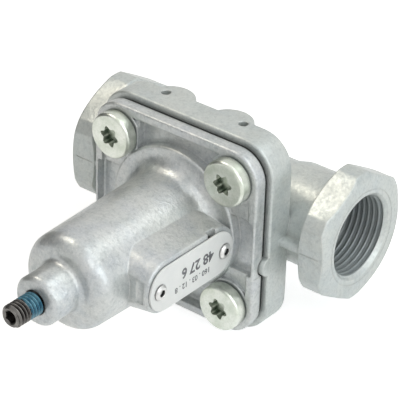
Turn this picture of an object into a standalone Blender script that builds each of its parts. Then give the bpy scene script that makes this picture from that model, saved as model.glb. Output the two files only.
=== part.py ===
"""Overflow valve: a diaphragm valve with two threaded ports on one line and a spring bonnet.

X runs along the ports, -Y along the bonnet towards the adjusting screw, +Z is up.
The origin is the middle of the port axis. All lengths are metres.
"""
import bpy
import bmesh
from math import atan2, cos, degrees, pi, radians, sin, sqrt

# Clearances
seat_gap = 0.00015       # between pieces that rest on each other
running_gap = 0.0003     # between pieces that slide or turn in each other

# Ports
port_span = 0.080            # from one port face to the other
port_bore_radius = 0.0102    # thread minor radius of M22 x 1.5
port_mouth = 0.0012          # width and depth of the mouth's chamfer
port_thread_depth = 0.014
port_drill_cone = 0.003      # length of the cone at the end of the tapped bore
passage_radius = 0.006
hex_across_flats = 0.032
hex_length = 0.0078
hex_corner_step = 0.00145    # the corners are turned down to this far outside the flats
hex_face_step = 0.0006       # the end chamfer starts this far inside the flats
hex_chamfer = 0.001
neck_wall = 0.0023
neck_step = 0.001            # the waist beside the flange is this much smaller
neck_fillet = 0.0016
neck_shoulder_x = 0.0200     # the neck keeps its full radius from the hexagon to here
neck_taper = 0.0035
rib_thickness = 0.002
rib_reach = 0.0157           # distance of the rib's front edge from the port axis

# Joint between the castings
bonnet_axis_z = 0.0006       # height of the bonnet's axis above the port axis
joint_y = 0.0192             # distance of the body's front face from the port axis
joint_space = 0.001          # space between the two castings, filled by the diaphragm
diaphragm_thickness = 0.0007
screw_margin = 0.0076        # from a screw's axis to the cover's edge

# Body flange
flange_step = 0.0012         # the body's flange stands this far outside the cover
body_flange_depth = 0.008
casting_edge = 0.0005        # rounding of the castings' outer edges
drum_margin = 0.0003         # the body's round middle is this much larger than the bonnet's foot ring
drum_depth = 0.0027          # how far it keeps that radius behind the flange
drum_round = 0.0065
lug_radius = 0.0062
lug_pitch = 0.018
lug_back = 0.0031            # how far the lugs stand out behind the flange
top_hole_radius = 0.00125
top_hole_pitch = 0.024
top_hole_shift = 0.0005      # the pair lies this far to the right of the middle
top_hole_depth = 0.006
top_hole_back = 0.00595      # distance of the top holes behind the joint face
nub_radius = 0.0024
nub_drop = 0.0052            # height of the nub below the port axis
nub_length = 0.0026

# Seat and ring chamber in the body
seat_bore_radius = 0.0058
seat_land = 0.0022
chamber_margin = 0.0004      # the chamber is this much larger than the bonnet's recess
chamber_depth = 0.0102

# Cover flange of the bonnet
cover_margin = 0.0063        # from the foot ring to the cover's edge
cover_thickness = 0.0036
cover_edge = 0.0005
lip_width = 0.0022
inset_depth = 0.0008
pocket_floor = 0.001         # thickness left under the deep pockets
boss_radius = 0.0067
wide_pocket_gap = 0.0059     # from a screw's axis to the end of the pockets above and below the bonnet
side_pocket_gap = 0.0101     # the same for the pockets beside it
pocket_step = 0.0001         # the pockets' outer walls stand this far inside the lip
screw_hole_radius = 0.0032

# Bonnet
ring_land = 0.0012           # flat of the foot ring outside the barrel's fillet
ring_height = 0.0002         # how far the bonnet's foot ring stands above the cover's lip
ring_edge = 0.0006
foot_fillet = 0.0044
spring_bore_radius = 0.0106
spring_bore_cone = 0.001
barrel_wall = 0.0027         # at the foot; the barrel tapers from here
barrel_draft = 0.025
barrel_length = 0.0418       # from the joint to where the shoulder's rounding starts
barrel_end_wall = 0.0006     # the bore ends this far inside that place
shoulder_round = 0.0039
nose_wall = 0.0031
nose_length = 0.009
nose_fillet = 0.0013
nose_chamfer = 0.0009
diaphragm_recess_depth = 0.0033

# Plate, its pad and rivets
plate_length = 0.0311
plate_width = 0.0118
plate_drop = 0.0002          # how far the plate's middle lies below the bonnet's axis
plate_thickness = 0.0005
plate_reach = 0.00565        # the plate's face stands this far outside the barrel
plate_margin = 0.0009        # the pad is this much wider all round
plate_flange_gap = 0.0001    # between the plate's end and the cover flange's front
pad_cut = 0.0009             # the pad's round end is cut flat by this much
pad_draft = 0.193            # the pad widens towards the barrel by this share of the depth
pad_edge = 0.0004
pad_strip_inset = 0.0017     # small sunk strip on the pad's flat end
pad_strip_width = 0.0019
pad_strip_half = 0.003
pad_strip_depth = 0.00035
rivet_end = 0.0035           # from a rivet's axis to the end of the plate
rivet_head_radius = 0.0020
rivet_head_height = 0.0007
rivet_shank_radius = 0.0013
rivet_hole_radius = 0.0009
rivet_hole_depth = 0.0018
rivet_length = 0.0032
vent_radius = 0.0011
vent_offset = 0.00775        # from the plate's middle towards the cover
vent_height = 0.0042
vent_notch_width = 0.003
vent_notch_depth = 0.001

# Flange screws, M6 pan head with a six-lobe socket
screw_radius = 0.0029
screw_length = 0.012
head_radius = 0.006
head_height = 0.0035
head_side = 0.00265
socket_outer_radius = 0.0028
socket_inner_radius = 0.00198
socket_depth = 0.0022

# Piston, guide ring, spring and spring plate
piston_disc_margin = 0.0006  # the disc is this much larger than the spring bore
piston_disc_thickness = 0.0016
piston_web = 0.0026
piston_length = 0.0093
piston_wall = 0.0016
roll_width = 0.0034          # room for the diaphragm's roll round the disc
ring_groove_depth = 0.0007
guide_ring_width = 0.003
guide_ring_split = 0.0008
spring_wire_radius = 0.0014
spring_turns = 7.0
spring_plate_room = 0.003    # between the spring plate and the end of the bore
spring_plate_clearance = 0.0007
spring_plate_thickness = 0.0022
spigot_clearance = 0.0005
spigot_length = 0.003
tip_seat_depth = 0.001

# Adjusting screw, M6 x 1 with a hexagon socket
adjuster_radius = 0.003
adjuster_reach = 0.0083      # how far it stands out of the nose
adjuster_chamfer = 0.0006
adjuster_socket_flats = 0.003
adjuster_socket_depth = 0.0035
patch_length = 0.0052
patch_thickness = 0.00012
patch_groove = 0.00027

# Check valve for the return flow, in the ring chamber
check_hole_radius = 0.0013
check_plate_thickness = 0.0012
cage_clearance = 0.0004      # to the walls of the ring chamber
cage_wall = 0.0005
cage_height = 0.0056
cage_top = 0.0008
cage_port_radius = 0.0011
cage_window = 0.0012
cage_sink = 0.0008
check_spring_inset = 0.0007  # the spring is this much smaller than the plate
check_wire_radius = 0.0002
check_turns = 4.0

# Sizes worked out from those above
port_mouth_radius = port_bore_radius + port_mouth
hex_corner_radius = hex_across_flats / 2 + hex_corner_step
hex_face_radius = hex_across_flats / 2 - hex_face_step
neck_radius = port_bore_radius + neck_wall
neck_waist_radius = neck_radius - neck_step
barrel_radius = spring_bore_radius + barrel_wall
ring_radius = barrel_radius + foot_fillet + ring_land
drum_radius = ring_radius + drum_margin
cover_half = ring_radius + cover_margin
cover_corner_radius = screw_margin
body_flange_half = cover_half + flange_step
screw_offset = cover_half - screw_margin
body_corner_radius = body_flange_half - screw_offset
wide_pocket_half = screw_offset - wide_pocket_gap
side_pocket_half = screw_offset - side_pocket_gap
piston_disc_radius = spring_bore_radius + piston_disc_margin
diaphragm_recess_radius = piston_disc_radius + roll_width
chamber_radius = diaphragm_recess_radius + chamber_margin
seat_outer_radius = seat_bore_radius + seat_land
ring_middle = (seat_outer_radius + chamber_radius) / 2
ring_room = (chamber_radius - seat_outer_radius) / 2
transfer_radius = ring_room - running_gap
piston_skirt_radius = spring_bore_radius - running_gap
piston_cup_radius = piston_skirt_radius - piston_wall
spring_mean_radius = piston_cup_radius - running_gap - spring_wire_radius
spigot_radius = spring_mean_radius - spring_wire_radius - spigot_clearance
spring_plate_radius = spring_bore_radius - spring_plate_clearance
adjuster_hole_radius = adjuster_radius + running_gap
nose_radius = adjuster_hole_radius + nose_wall
barrel_end_radius = barrel_radius - barrel_draft * (barrel_length - joint_space - foot_fillet)
shoulder_limit = barrel_end_radius - nose_radius - nose_fillet
cage_radius = ring_room - cage_clearance
check_plate_radius = cage_radius - cage_wall - running_gap
check_spring_radius = check_plate_radius - check_spring_inset

# Places worked out from the sizes above. Distances towards the bonnet are negative Y.
body_front = -joint_y
body_back = body_front + body_flange_depth
cover_back = body_front - joint_space
cover_front = cover_back - cover_thickness
pocket_level = cover_back - pocket_floor
diaphragm_back = body_front - (joint_space - diaphragm_thickness) / 2
diaphragm_front = diaphragm_back - diaphragm_thickness
body_top = bonnet_axis_z + body_flange_half
hex_back = port_span / 2 - hex_length
chamber_floor = body_front + chamber_depth
ring_front = cover_front - ring_height
foot_end = ring_front - foot_fillet
shoulder_y = body_front - barrel_length
bore_end_y = shoulder_y + barrel_end_wall
nose_y = shoulder_y - shoulder_round - nose_length
adjuster_tip_y = nose_y - adjuster_reach
recess_floor = cover_back - diaphragm_recess_depth
piston_back = diaphragm_front - seat_gap
piston_front = piston_back - piston_length
piston_cup_floor = piston_back - piston_web
spring_plate_front = bore_end_y + spring_plate_room
spring_plate_back = spring_plate_front + spring_plate_thickness
adjuster_inner_y = spring_plate_front + tip_seat_depth - seat_gap
plate_face_x = barrel_radius + plate_reach
pad_face_x = plate_face_x - plate_thickness - seat_gap
plate_end_y = cover_front - plate_flange_gap
plate_middle_y = plate_end_y - plate_length / 2
plate_round = plate_width / 2
plate_z = bonnet_axis_z - plate_drop
pad_round = plate_round + plate_margin
vent_y = plate_middle_y + vent_offset
check_back = chamber_floor + cage_sink - seat_gap
check_plate_front = check_back - check_plate_thickness
cage_inside_top = check_back - cage_height + cage_top

# How finely round shapes are cut
fine = 32
medium = 24
small = 16


def clear_scene():
    for item in list(bpy.data.objects):
        bpy.data.objects.remove(item, do_unlink=True)


def make_collection(name):
    group = bpy.data.collections.new(name)
    bpy.context.scene.collection.children.link(group)
    return group


clear_scene()
valve_group = make_collection("overflow_valve")
cutter_group = make_collection("cutters")


def material(name, color, roughness, metallic):
    made = bpy.data.materials.new(name)
    made.use_nodes = True
    shader = made.node_tree.nodes["Principled BSDF"]
    shader.inputs["Base Color"].default_value = (*color, 1.0)
    shader.inputs["Roughness"].default_value = roughness
    shader.inputs["Metallic"].default_value = metallic
    return made


cast_metal = material("cast metal", (0.56, 0.60, 0.61), 0.42, 0.85)
bonnet_metal = material("bonnet metal", (0.60, 0.63, 0.64), 0.40, 0.85)
diaphragm_rubber = material("diaphragm rubber", (0.02, 0.02, 0.02), 0.75, 0.0)
screw_zinc = material("screw zinc", (0.70, 0.73, 0.64), 0.28, 0.9)
plate_metal = material("plate metal", (0.82, 0.82, 0.81), 0.35, 0.6)
rivet_metal = material("rivet metal", (0.78, 0.77, 0.75), 0.3, 0.8)
dark_steel = material("dark steel", (0.10, 0.09, 0.09), 0.38, 0.9)
patch_blue = material("patch blue", (0.03, 0.16, 0.32), 0.5, 0.0)
spring_steel = material("spring steel", (0.35, 0.35, 0.36), 0.35, 0.95)
piston_metal = material("piston metal", (0.62, 0.64, 0.66), 0.35, 0.9)
guide_plastic = material("guide plastic", (0.05, 0.05, 0.055), 0.45, 0.0)
plate_steel = material("spring plate steel", (0.55, 0.55, 0.52), 0.35, 0.9)
check_rubber = material("check rubber", (0.04, 0.04, 0.04), 0.7, 0.0)
cage_brass = material("cage brass", (0.72, 0.55, 0.25), 0.3, 0.95)

# Turns that lay a local +Z axis along world X or Y, and a local XY outline on a world plane
along_x = (0, pi / 2, 0)
along_y = (-pi / 2, 0, 0)
facing_front = (pi / 2, 0, 0)        # outline x, y on world X, Z; thickness along Y
facing_side = (pi / 2, 0, pi / 2)    # outline x, y on world Y, Z; thickness along X


def place(mesh, name, spot, turn, paint):
    """A new object in the valve, or in the cutters when it has no material."""
    item = bpy.data.objects.new(name, mesh)
    item.location = spot
    item.rotation_euler = turn
    if paint is None:
        cutter_group.objects.link(item)
        item.hide_render = True
        item.display_type = "WIRE"
    else:
        valve_group.objects.link(item)
        mesh.materials.append(paint)
    return item


def arc(center_a, center_b, radius, start, end, count):
    """Points of an arc, its angles in degrees."""
    points = []
    for step in range(count + 1):
        angle = radians(start + (end - start) * step / count)
        points.append((center_a + radius * cos(angle), center_b + radius * sin(angle)))
    return points


def doubled_area(points):
    total = 0.0
    for (a, b), (c, d) in zip(points, points[1:] + points[:1]):
        total += a * d - b * c
    return total


def turned(name, profile, spot, turn, steps, paint=None, ring=False):
    """A solid of revolution: the profile holds (radius, place along the axis)."""
    points = list(profile)
    if doubled_area(points) > 0:
        points.reverse()
    mesh = bpy.data.meshes.new(name)
    edges = [(i, i + 1) for i in range(len(points) - 1)]
    if ring:
        edges.append((len(points) - 1, 0))
    mesh.from_pydata([(radius, 0.0, along) for radius, along in points], edges, [])
    item = place(mesh, name, spot, turn, paint)
    screw = item.modifiers.new("turn", "SCREW")
    screw.axis = "Z"
    screw.steps = steps
    screw.render_steps = steps
    screw.use_merge_vertices = True
    screw.merge_threshold = 0.000001
    screw.use_smooth_shade = False
    return item


def bar(name, radius, start, end, spot, turn, steps, paint=None):
    """A plain round bar or hole between two places along its axis."""
    profile = [(0.0, start), (radius, start), (radius, end), (0.0, end)]
    return turned(name, profile, spot, turn, steps, paint)


def flat(name, outlines, thickness, spot, turn, paint=None):
    """A plate cut to an outline, with any further outlines as its holes, centred on its spot."""
    curve = bpy.data.curves.new(name + " outline", "CURVE")
    curve.dimensions = "2D"
    curve.fill_mode = "BOTH"
    curve.extrude = thickness / 2
    for outline in outlines:
        spline = curve.splines.new("POLY")
        spline.points.add(len(outline) - 1)
        for point, (a, b) in zip(spline.points, outline):
            point.co = (a, b, 0.0, 1.0)
        spline.use_cyclic_u = True
    guide = bpy.data.objects.new(name + " outline", curve)
    bpy.context.scene.collection.objects.link(guide)
    mesh = welded_mesh(guide, name)
    return place(mesh, name, spot, turn, paint)


def welded_mesh(guide, name):
    """The curve object's closed mesh. The curve itself is removed."""
    bpy.context.view_layer.update()
    graph = bpy.context.evaluated_depsgraph_get()
    mesh = bpy.data.meshes.new_from_object(guide.evaluated_get(graph))
    mesh.name = name
    work = bmesh.new()
    work.from_mesh(mesh)
    bmesh.ops.remove_doubles(work, verts=work.verts, dist=0.000001)
    bmesh.ops.recalc_face_normals(work, faces=work.faces)
    work.to_mesh(mesh)
    work.free()
    mesh.materials.clear()
    bpy.data.objects.remove(guide, do_unlink=True)
    return mesh


def box(name, low, high, paint=None):
    """A block between two corners."""
    mesh = bpy.data.meshes.new(name)
    work = bmesh.new()
    bmesh.ops.create_cube(work, size=1.0)
    size = [b - a for a, b in zip(low, high)]
    bmesh.ops.scale(work, vec=size, verts=work.verts)
    work.to_mesh(mesh)
    work.free()
    middle = [(a + b) / 2 for a, b in zip(low, high)]
    return place(mesh, name, middle, (0, 0, 0), paint)


def rounded_square(half, radius, count):
    reach = half - radius
    points = arc(reach, reach, radius, 0, 90, count)
    points += arc(-reach, reach, radius, 90, 180, count)
    points += arc(-reach, -reach, radius, 180, 270, count)
    points += arc(reach, -reach, radius, 270, 360, count)
    return points


def circle(center_a, center_b, radius, count):
    return arc(center_a, center_b, radius, 0, 360, count)[:-1]


def combine(item, other, operation):
    step = item.modifiers.new(operation.lower(), "BOOLEAN")
    step.operation = operation
    step.solver = "EXACT"
    step.object = other
    return item


def cut(item, other):
    return combine(item, other, "DIFFERENCE")


def join(item, other):
    return combine(item, other, "UNION")


def round_edges(item, width, segments=2):
    step = item.modifiers.new("rounding", "BEVEL")
    step.width = width
    step.segments = segments
    step.limit_method = "ANGLE"
    step.angle_limit = radians(40)
    return item


def screw_places():
    """The four flange screw axes as (x, z), clockwise from the top left seen from the front."""
    for side, up in ((-1, 1), (1, 1), (1, -1), (-1, -1)):
        yield side * screw_offset, bonnet_axis_z + up * screw_offset


def bonnet_spot(y=0.0):
    return (0.0, y, bonnet_axis_z)


def slab(name, half, radius, back, front, paint=None, count=6):
    """A rounded square plate across the bonnet's axis, between two places along Y."""
    outline = rounded_square(half, radius, count)
    return flat(name, [outline], back - front, bonnet_spot((back + front) / 2), facing_front, paint)


def port_neck():
    """The round tube between the hexagons, as a turned shape along X."""
    root = neck_radius + neck_fillet
    fillet = arc(hex_back - neck_fillet, root, neck_fillet, 0, -90, 4)
    half = [(0.0, hex_back + hex_length / 4), (root, hex_back + hex_length / 4)]
    half += [(radius, along) for along, radius in fillet]
    half += [(neck_radius, neck_shoulder_x), (neck_waist_radius, neck_shoulder_x - neck_taper)]
    other = [(radius, -along) for radius, along in reversed(half)]
    return turned("port neck", half + other, (0, 0, 0), along_x, fine)


def hex_end(side):
    """One hexagon port end: a six-sided bar inside a chamfered turned shape."""
    outer = port_span / 2
    turned_shape = [(0.0, outer), (hex_face_radius, outer), (hex_corner_radius, outer - hex_chamfer),
                    (hex_corner_radius, hex_back + hex_chamfer), (hex_face_radius, hex_back),
                    (0.0, hex_back)]
    turn = along_x if side > 0 else (0, -pi / 2, 0)
    item = turned("hex end", turned_shape, (0, 0, 0), turn, fine)
    six = bar("hex bar", hex_across_flats / sqrt(3), hex_back - hex_length, outer + hex_length,
              (0, 0, 0), turn, 6)
    return combine(item, six, "INTERSECT")


def port_hole(side):
    """Tapped bore, its mouth chamfer and the passage behind it, as one turned cutter."""
    outer = port_span / 2
    mouth = port_mouth_radius - port_bore_radius
    bore_end = outer - port_thread_depth
    if side > 0:
        passage_end = -seat_bore_radius / 2
    else:
        passage_end = ring_middle - transfer_radius
    shape = [(0.0, outer + mouth), (port_mouth_radius + mouth, outer + mouth),
             (port_bore_radius, outer - mouth), (port_bore_radius, bore_end),
             (passage_radius, bore_end - port_drill_cone), (passage_radius, passage_end), (0.0, passage_end)]
    turn = along_x if side > 0 else (0, -pi / 2, 0)
    return turned("port hole", shape, (0, 0, 0), turn, fine)


def drum():
    """The round middle of the body behind the flange."""
    back = body_back + drum_depth
    shape = [(0.0, (body_front + body_back) / 2), (drum_radius, (body_front + body_back) / 2)]
    shape += arc(drum_radius - drum_round, back, drum_round, 0, 90, 6)
    shape += [(0.0, back + drum_round)]
    return turned("drum", shape, bonnet_spot(), along_y, fine)


def lug(side):
    """A half-round lug on the back of the flange, flush with its flat top."""
    outline = arc(side * lug_pitch / 2, body_back + lug_back - lug_radius, lug_radius, 0, 180, 12)
    foot = bonnet_axis_z + lug_radius
    item = flat("lug", [outline], body_top - foot, (0, 0, (body_top + foot) / 2), (0, 0, 0))
    return round_edges(item, casting_edge, 1)


def rib(side):
    """The flat rib at the parting line, from the flange's side to the hexagon."""
    inner = neck_waist_radius
    outline = [(inner, -neck_radius / 2), (inner, -rib_reach), (body_flange_half, -rib_reach),
               (hex_back + hex_chamfer, -rib_reach + hex_chamfer), (hex_back + hex_chamfer, -neck_radius / 2)]
    outline = [(side * a, b) for a, b in outline]
    return round_edges(flat("rib", [outline], rib_thickness, (0, 0, 0), (0, 0, 0)), rib_thickness / 4, 1)


def nub(radius, reach, name):
    """The round locating nub on the right of the joint, or the notch that it fits."""
    low = body_flange_half - nub_length - reach
    spot = (0.0, body_front, -nub_drop)
    return bar(name, radius, low, body_flange_half + reach, spot, along_x, small)


def chamber():
    """The ring-shaped chamber round the seat."""
    shape = [(seat_outer_radius, body_front - joint_space), (chamber_radius, body_front - joint_space),
             (chamber_radius, chamber_floor), (seat_outer_radius, chamber_floor)]
    return turned("chamber", shape, bonnet_spot(), along_y, fine, ring=True)


def make_body():
    body = slab("body_casting", body_flange_half, body_corner_radius, body_back, body_front, cast_metal, 8)
    round_edges(body, casting_edge)
    join(body, drum())
    join(body, port_neck())
    for side in (-1, 1):
        join(body, lug(side))
        join(body, rib(side))
        join(body, hex_end(side))
    join(body, nub(nub_radius, 0.0, "nub"))
    cut(body, chamber())
    seat_end = passage_radius / 2
    cut(body, bar("seat bore", seat_bore_radius, body_front - joint_space, seat_end,
                  bonnet_spot(), along_y, medium))
    for side in (-1, 1):
        cut(body, port_hole(side))
    cut(body, bar("transfer hole", transfer_radius, chamber_floor - seat_gap, 0.0,
                  (-ring_middle, 0, bonnet_axis_z), along_y, small))
    check_spot = (ring_middle, 0, bonnet_axis_z)
    cut(body, bar("check seat", cage_radius + seat_gap, chamber_floor - seat_gap, chamber_floor + cage_sink,
                  check_spot, along_y, small))
    cut(body, bar("check hole", check_hole_radius, chamber_floor, 0.0, check_spot, along_y, 12))
    for x, z in screw_places():
        cut(body, bar("tapped hole", screw_hole_radius, body_front - joint_space, body_back + joint_space,
                      (x, 0, z), along_y, small))
    for side in (-1, 1):
        spot = (top_hole_shift + side * top_hole_pitch / 2, body_front + top_hole_back, 0.0)
        cut(body, bar("top hole", top_hole_radius, body_top - top_hole_depth, body_top + top_hole_radius,
                      spot, (0, 0, 0), 12))
    return body


def bonnet_shape():
    """The bonnet's outside, from its foot ring to the end of its nose."""
    start = (cover_back + pocket_level) / 2
    rounding = min(shoulder_round, shoulder_limit)
    front = shoulder_y - rounding
    face_radius = nose_radius + nose_fillet
    shape = [(0.0, start), (ring_radius, start)]
    shape += arc(ring_radius - ring_edge, ring_front + ring_edge, ring_edge, 0, -90, 2)
    shape += arc(barrel_radius + foot_fillet, foot_end, foot_fillet, 90, 180, 6)
    shape += arc(barrel_end_radius - rounding, shoulder_y, rounding, 0, -90, 6)
    shape += arc(face_radius, front - nose_fillet, nose_fillet, 90, 180, 3)
    shape += [(nose_radius, nose_y + nose_chamfer), (nose_radius - nose_chamfer, nose_y), (0.0, nose_y)]
    return turned("bonnet shape", shape, bonnet_spot(), along_y, fine)


def bonnet_cavity():
    """Spring bore, diaphragm recess and the adjuster's hole through the nose."""
    through = nose_y - nose_chamfer
    shape = [(0.0, body_front), (diaphragm_recess_radius, body_front),
             (diaphragm_recess_radius, recess_floor), (spring_bore_radius, recess_floor),
             (spring_bore_radius, bore_end_y + spring_bore_cone),
             (spring_bore_radius - spring_bore_cone, bore_end_y), (adjuster_hole_radius, bore_end_y),
             (adjuster_hole_radius, through), (0.0, through)]
    return turned("bonnet cavity", shape, bonnet_spot(), along_y, fine)


def pocket(name, low_x, high_x, low_z, high_z):
    """A deep pocket in the cover's front. The bonnet's foot ring fills its inner end."""
    return box(name, (low_x, cover_front - inset_depth, bonnet_axis_z + low_z),
               (high_x, pocket_level, bonnet_axis_z + high_z))


def cover_inset():
    """The shallow step inside the lip, round the screw bosses."""
    inner = cover_half - lip_width
    item = slab("inset", inner, cover_corner_radius - lip_width, cover_front + inset_depth,
                cover_front - inset_depth * 2)
    for x, z in screw_places():
        cut(item, bar("boss keep", boss_radius, cover_back, cover_front - cover_thickness,
                      (x, 0, z), along_y, medium))
    return item


def obround(middle, straight_half, radius, count):
    points = arc(middle + straight_half, plate_z, radius, -90, 90, count)
    points += arc(middle - straight_half, plate_z, radius, 90, 270, count)
    return points


def pad():
    """The block on the barrel's side that carries the plate: cut flat at one end, wider at its root."""
    straight_half = plate_length / 2 - plate_round
    round_middle = plate_middle_y - straight_half
    half_angle = degrees(atan2(sqrt(pad_round ** 2 - (pad_round - pad_cut) ** 2), pad_round - pad_cut))
    outline = arc(round_middle, bonnet_axis_z, pad_round, 90, 180 - half_angle, 5)
    outline += arc(round_middle, bonnet_axis_z, pad_round, 180 + half_angle, 270, 5)
    outline += arc(plate_middle_y + straight_half, bonnet_axis_z, pad_round, -90, 90, 8)
    inner_x = (spring_bore_radius + barrel_radius) / 2 - pad_round / 2
    spot = ((pad_face_x + inner_x) / 2, 0, 0)
    item = flat("pad", [outline], pad_face_x - inner_x, spot, facing_side)
    grow = 1 + pad_draft * (pad_face_x - inner_x) / pad_round
    for point in item.data.vertices:
        if point.co.z < 0:
            point.co.y = bonnet_axis_z + (point.co.y - bonnet_axis_z) * grow
    round_edges(item, pad_edge)
    end = round_middle - pad_round + pad_cut
    strip_outer = pad_face_x - pad_strip_inset
    strip_inner = strip_outer - pad_strip_width
    return cut(item, box("pad strip", (strip_inner, end - pad_cut, bonnet_axis_z - pad_strip_half),
                         (strip_outer, end + pad_strip_depth, bonnet_axis_z + pad_strip_half)))


def make_bonnet():
    bonnet = slab("bonnet_casting", cover_half, cover_corner_radius, cover_back, cover_front,
                  bonnet_metal, 8)
    round_edges(bonnet, cover_edge)
    cut(bonnet, cover_inset())
    outer = cover_half - lip_width - pocket_step
    inner = ring_radius / 2
    cut(bonnet, pocket("top pocket", -wide_pocket_half, wide_pocket_half, inner, outer))
    cut(bonnet, pocket("bottom pocket", -wide_pocket_half, wide_pocket_half, -outer, -inner))
    cut(bonnet, pocket("right pocket", inner, outer, -side_pocket_half, side_pocket_half))
    cut(bonnet, pocket("left pocket", -outer, -inner, -side_pocket_half, side_pocket_half))
    join(bonnet, bonnet_shape())
    join(bonnet, pad())
    cut(bonnet, bonnet_cavity())
    for x, z in screw_places():
        cut(bonnet, bar("clearance hole", screw_hole_radius, body_front, cover_front - cover_thickness,
                        (x, 0, z), along_y, small))
    cut(bonnet, nub(nub_radius + running_gap, running_gap, "nub notch"))
    for y in rivet_places():
        cut(bonnet, bar("rivet hole", rivet_shank_radius + seat_gap, pad_face_x - rivet_length, plate_face_x,
                        (0, y, plate_z), along_x, 12))
    vent_z = bonnet_axis_z + vent_height
    cut(bonnet, bar("vent", vent_radius, spring_bore_radius / 2, plate_face_x,
                    (0, vent_y, vent_z), along_x, 12))
    notch_half = vent_notch_width / 2
    notch_top = bonnet_axis_z + pad_round + vent_radius
    cut(bonnet, box("vent notch", (pad_face_x - vent_notch_depth, vent_y - notch_half, vent_z),
                    (plate_face_x, vent_y + notch_half, notch_top)))
    return bonnet


def rivet_places():
    for side in (-1, 1):
        yield plate_middle_y + side * (plate_length / 2 - rivet_end)


def make_diaphragm():
    """A square sheet clamped at its rim, with a rolled ring round the piston's disc."""
    roll_middle = (piston_disc_radius + diaphragm_recess_radius) / 2
    roll_outer = (diaphragm_recess_radius - piston_disc_radius) / 2 - seat_gap
    roll_inner = roll_outer - diaphragm_thickness
    half = cover_half - seat_gap * 3
    notch_side = body_flange_half - nub_length - running_gap
    notch_half = nub_radius + running_gap
    notch_middle = -nub_drop - bonnet_axis_z
    outline = rounded_square(half, cover_corner_radius, 6)
    outline += [(half, notch_middle - notch_half), (notch_side, notch_middle - notch_half),
                (notch_side, notch_middle + notch_half), (half, notch_middle + notch_half)]
    holes = [circle(x, z - bonnet_axis_z, screw_radius + seat_gap, small) for x, z in screw_places()]
    middle = (diaphragm_back + diaphragm_front) / 2
    item = flat("diaphragm", [outline] + holes, diaphragm_thickness, bonnet_spot(middle), facing_front,
                diaphragm_rubber)
    ridge = arc(roll_middle, middle, roll_outer, 0, -180, 6)
    join(item, turned("ridge", ridge, bonnet_spot(), along_y, fine, ring=True))
    groove = [(roll_middle + roll_inner, body_front)] + arc(roll_middle, middle, roll_inner, 0, -180, 5)
    groove += [(roll_middle - roll_inner, body_front)]
    cut(item, turned("groove", groove, bonnet_spot(), along_y, fine, ring=True))
    return item


def make_flange_screws():
    shank_end = cover_front - seat_gap + screw_length
    under = cover_front - seat_gap
    top = under - head_height
    side_end = under - head_side
    rounding = head_height - head_side
    dome = arc(head_radius - rounding, side_end, rounding, 0, -90, 3)
    chamfer = seat_gap * 2
    shape = [(0.0, shank_end), (screw_radius - chamfer, shank_end), (screw_radius, shank_end - chamfer),
             (screw_radius, under), (head_radius, under)] + dome + [(0.0, top)]
    for number, (x, z) in enumerate(screw_places(), 1):
        item = turned("flange_screw_%d" % number, shape, (x, 0, z), along_y, medium, screw_zinc)
        cut(item, six_lobe_socket(x, top, z))


def six_lobe_socket(x, top, z):
    middle = (socket_outer_radius + socket_inner_radius) / 2
    wave = (socket_outer_radius - socket_inner_radius) / 2
    outline = []
    for step in range(24):
        angle = 2 * pi * step / 24
        radius = middle + wave * cos(6 * angle)
        outline.append((radius * cos(angle), radius * sin(angle)))
    return flat("six lobe socket", [outline], socket_depth * 2, (x, top, z), facing_front)


def make_adjuster():
    """The adjusting screw, with a shallow groove where the thread lock patch sits."""
    outer = adjuster_tip_y
    patch_end = nose_y - patch_length
    groove = adjuster_radius - patch_groove
    end_radius = adjuster_radius - adjuster_chamfer
    shape = [(0.0, adjuster_inner_y), (end_radius, adjuster_inner_y),
             (adjuster_radius, adjuster_inner_y - adjuster_chamfer), (adjuster_radius, nose_y),
             (groove, nose_y), (groove, patch_end), (adjuster_radius, patch_end),
             (adjuster_radius, outer + adjuster_chamfer), (end_radius, outer), (0.0, outer)]
    item = turned("adjusting_screw", shape, bonnet_spot(), along_y, medium, dark_steel)
    socket = bar("hexagon socket", adjuster_socket_flats / sqrt(3), outer - adjuster_chamfer,
                 outer + adjuster_socket_depth, bonnet_spot(), along_y, 6)
    cut(item, socket)
    low = patch_end + seat_gap
    high = nose_y - seat_gap
    inside = adjuster_radius - patch_groove + (patch_groove - patch_thickness) / 2
    outside = inside + patch_thickness
    ring = [(inside, low), (outside, low), (outside, high), (inside, high)]
    turned("thread_lock_patch", ring, bonnet_spot(), along_y, medium, patch_blue, ring=True)


def make_nameplate():
    straight_half = plate_length / 2 - plate_round
    outline = obround(plate_middle_y, straight_half, plate_round, 10)
    holes = [circle(y, plate_z, rivet_shank_radius + seat_gap, 12) for y in rivet_places()]
    flat("nameplate", [outline] + holes, plate_thickness, (plate_face_x - plate_thickness / 2, 0, 0),
         facing_side, plate_metal)


def make_rivets():
    """Hollow-head rivets: a domed head with a hole in its middle."""
    under = plate_face_x + seat_gap
    top = under + rivet_head_height
    rim = rivet_hole_radius + rivet_head_height / 2
    hole_floor = top - rivet_hole_depth
    inner_end = plate_face_x - rivet_length
    shape = [(0.0, hole_floor), (rivet_hole_radius, hole_floor), (rivet_hole_radius, top), (rim, top),
             (rivet_head_radius - rivet_head_height / 3, under + rivet_head_height / 2),
             (rivet_head_radius, under), (rivet_shank_radius, under), (rivet_shank_radius, inner_end),
             (0.0, inner_end)]
    for number, y in enumerate(rivet_places(), 1):
        turned("nameplate_rivet_%d" % number, shape, (0, y, plate_z), along_x, 18, rivet_metal)


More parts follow.
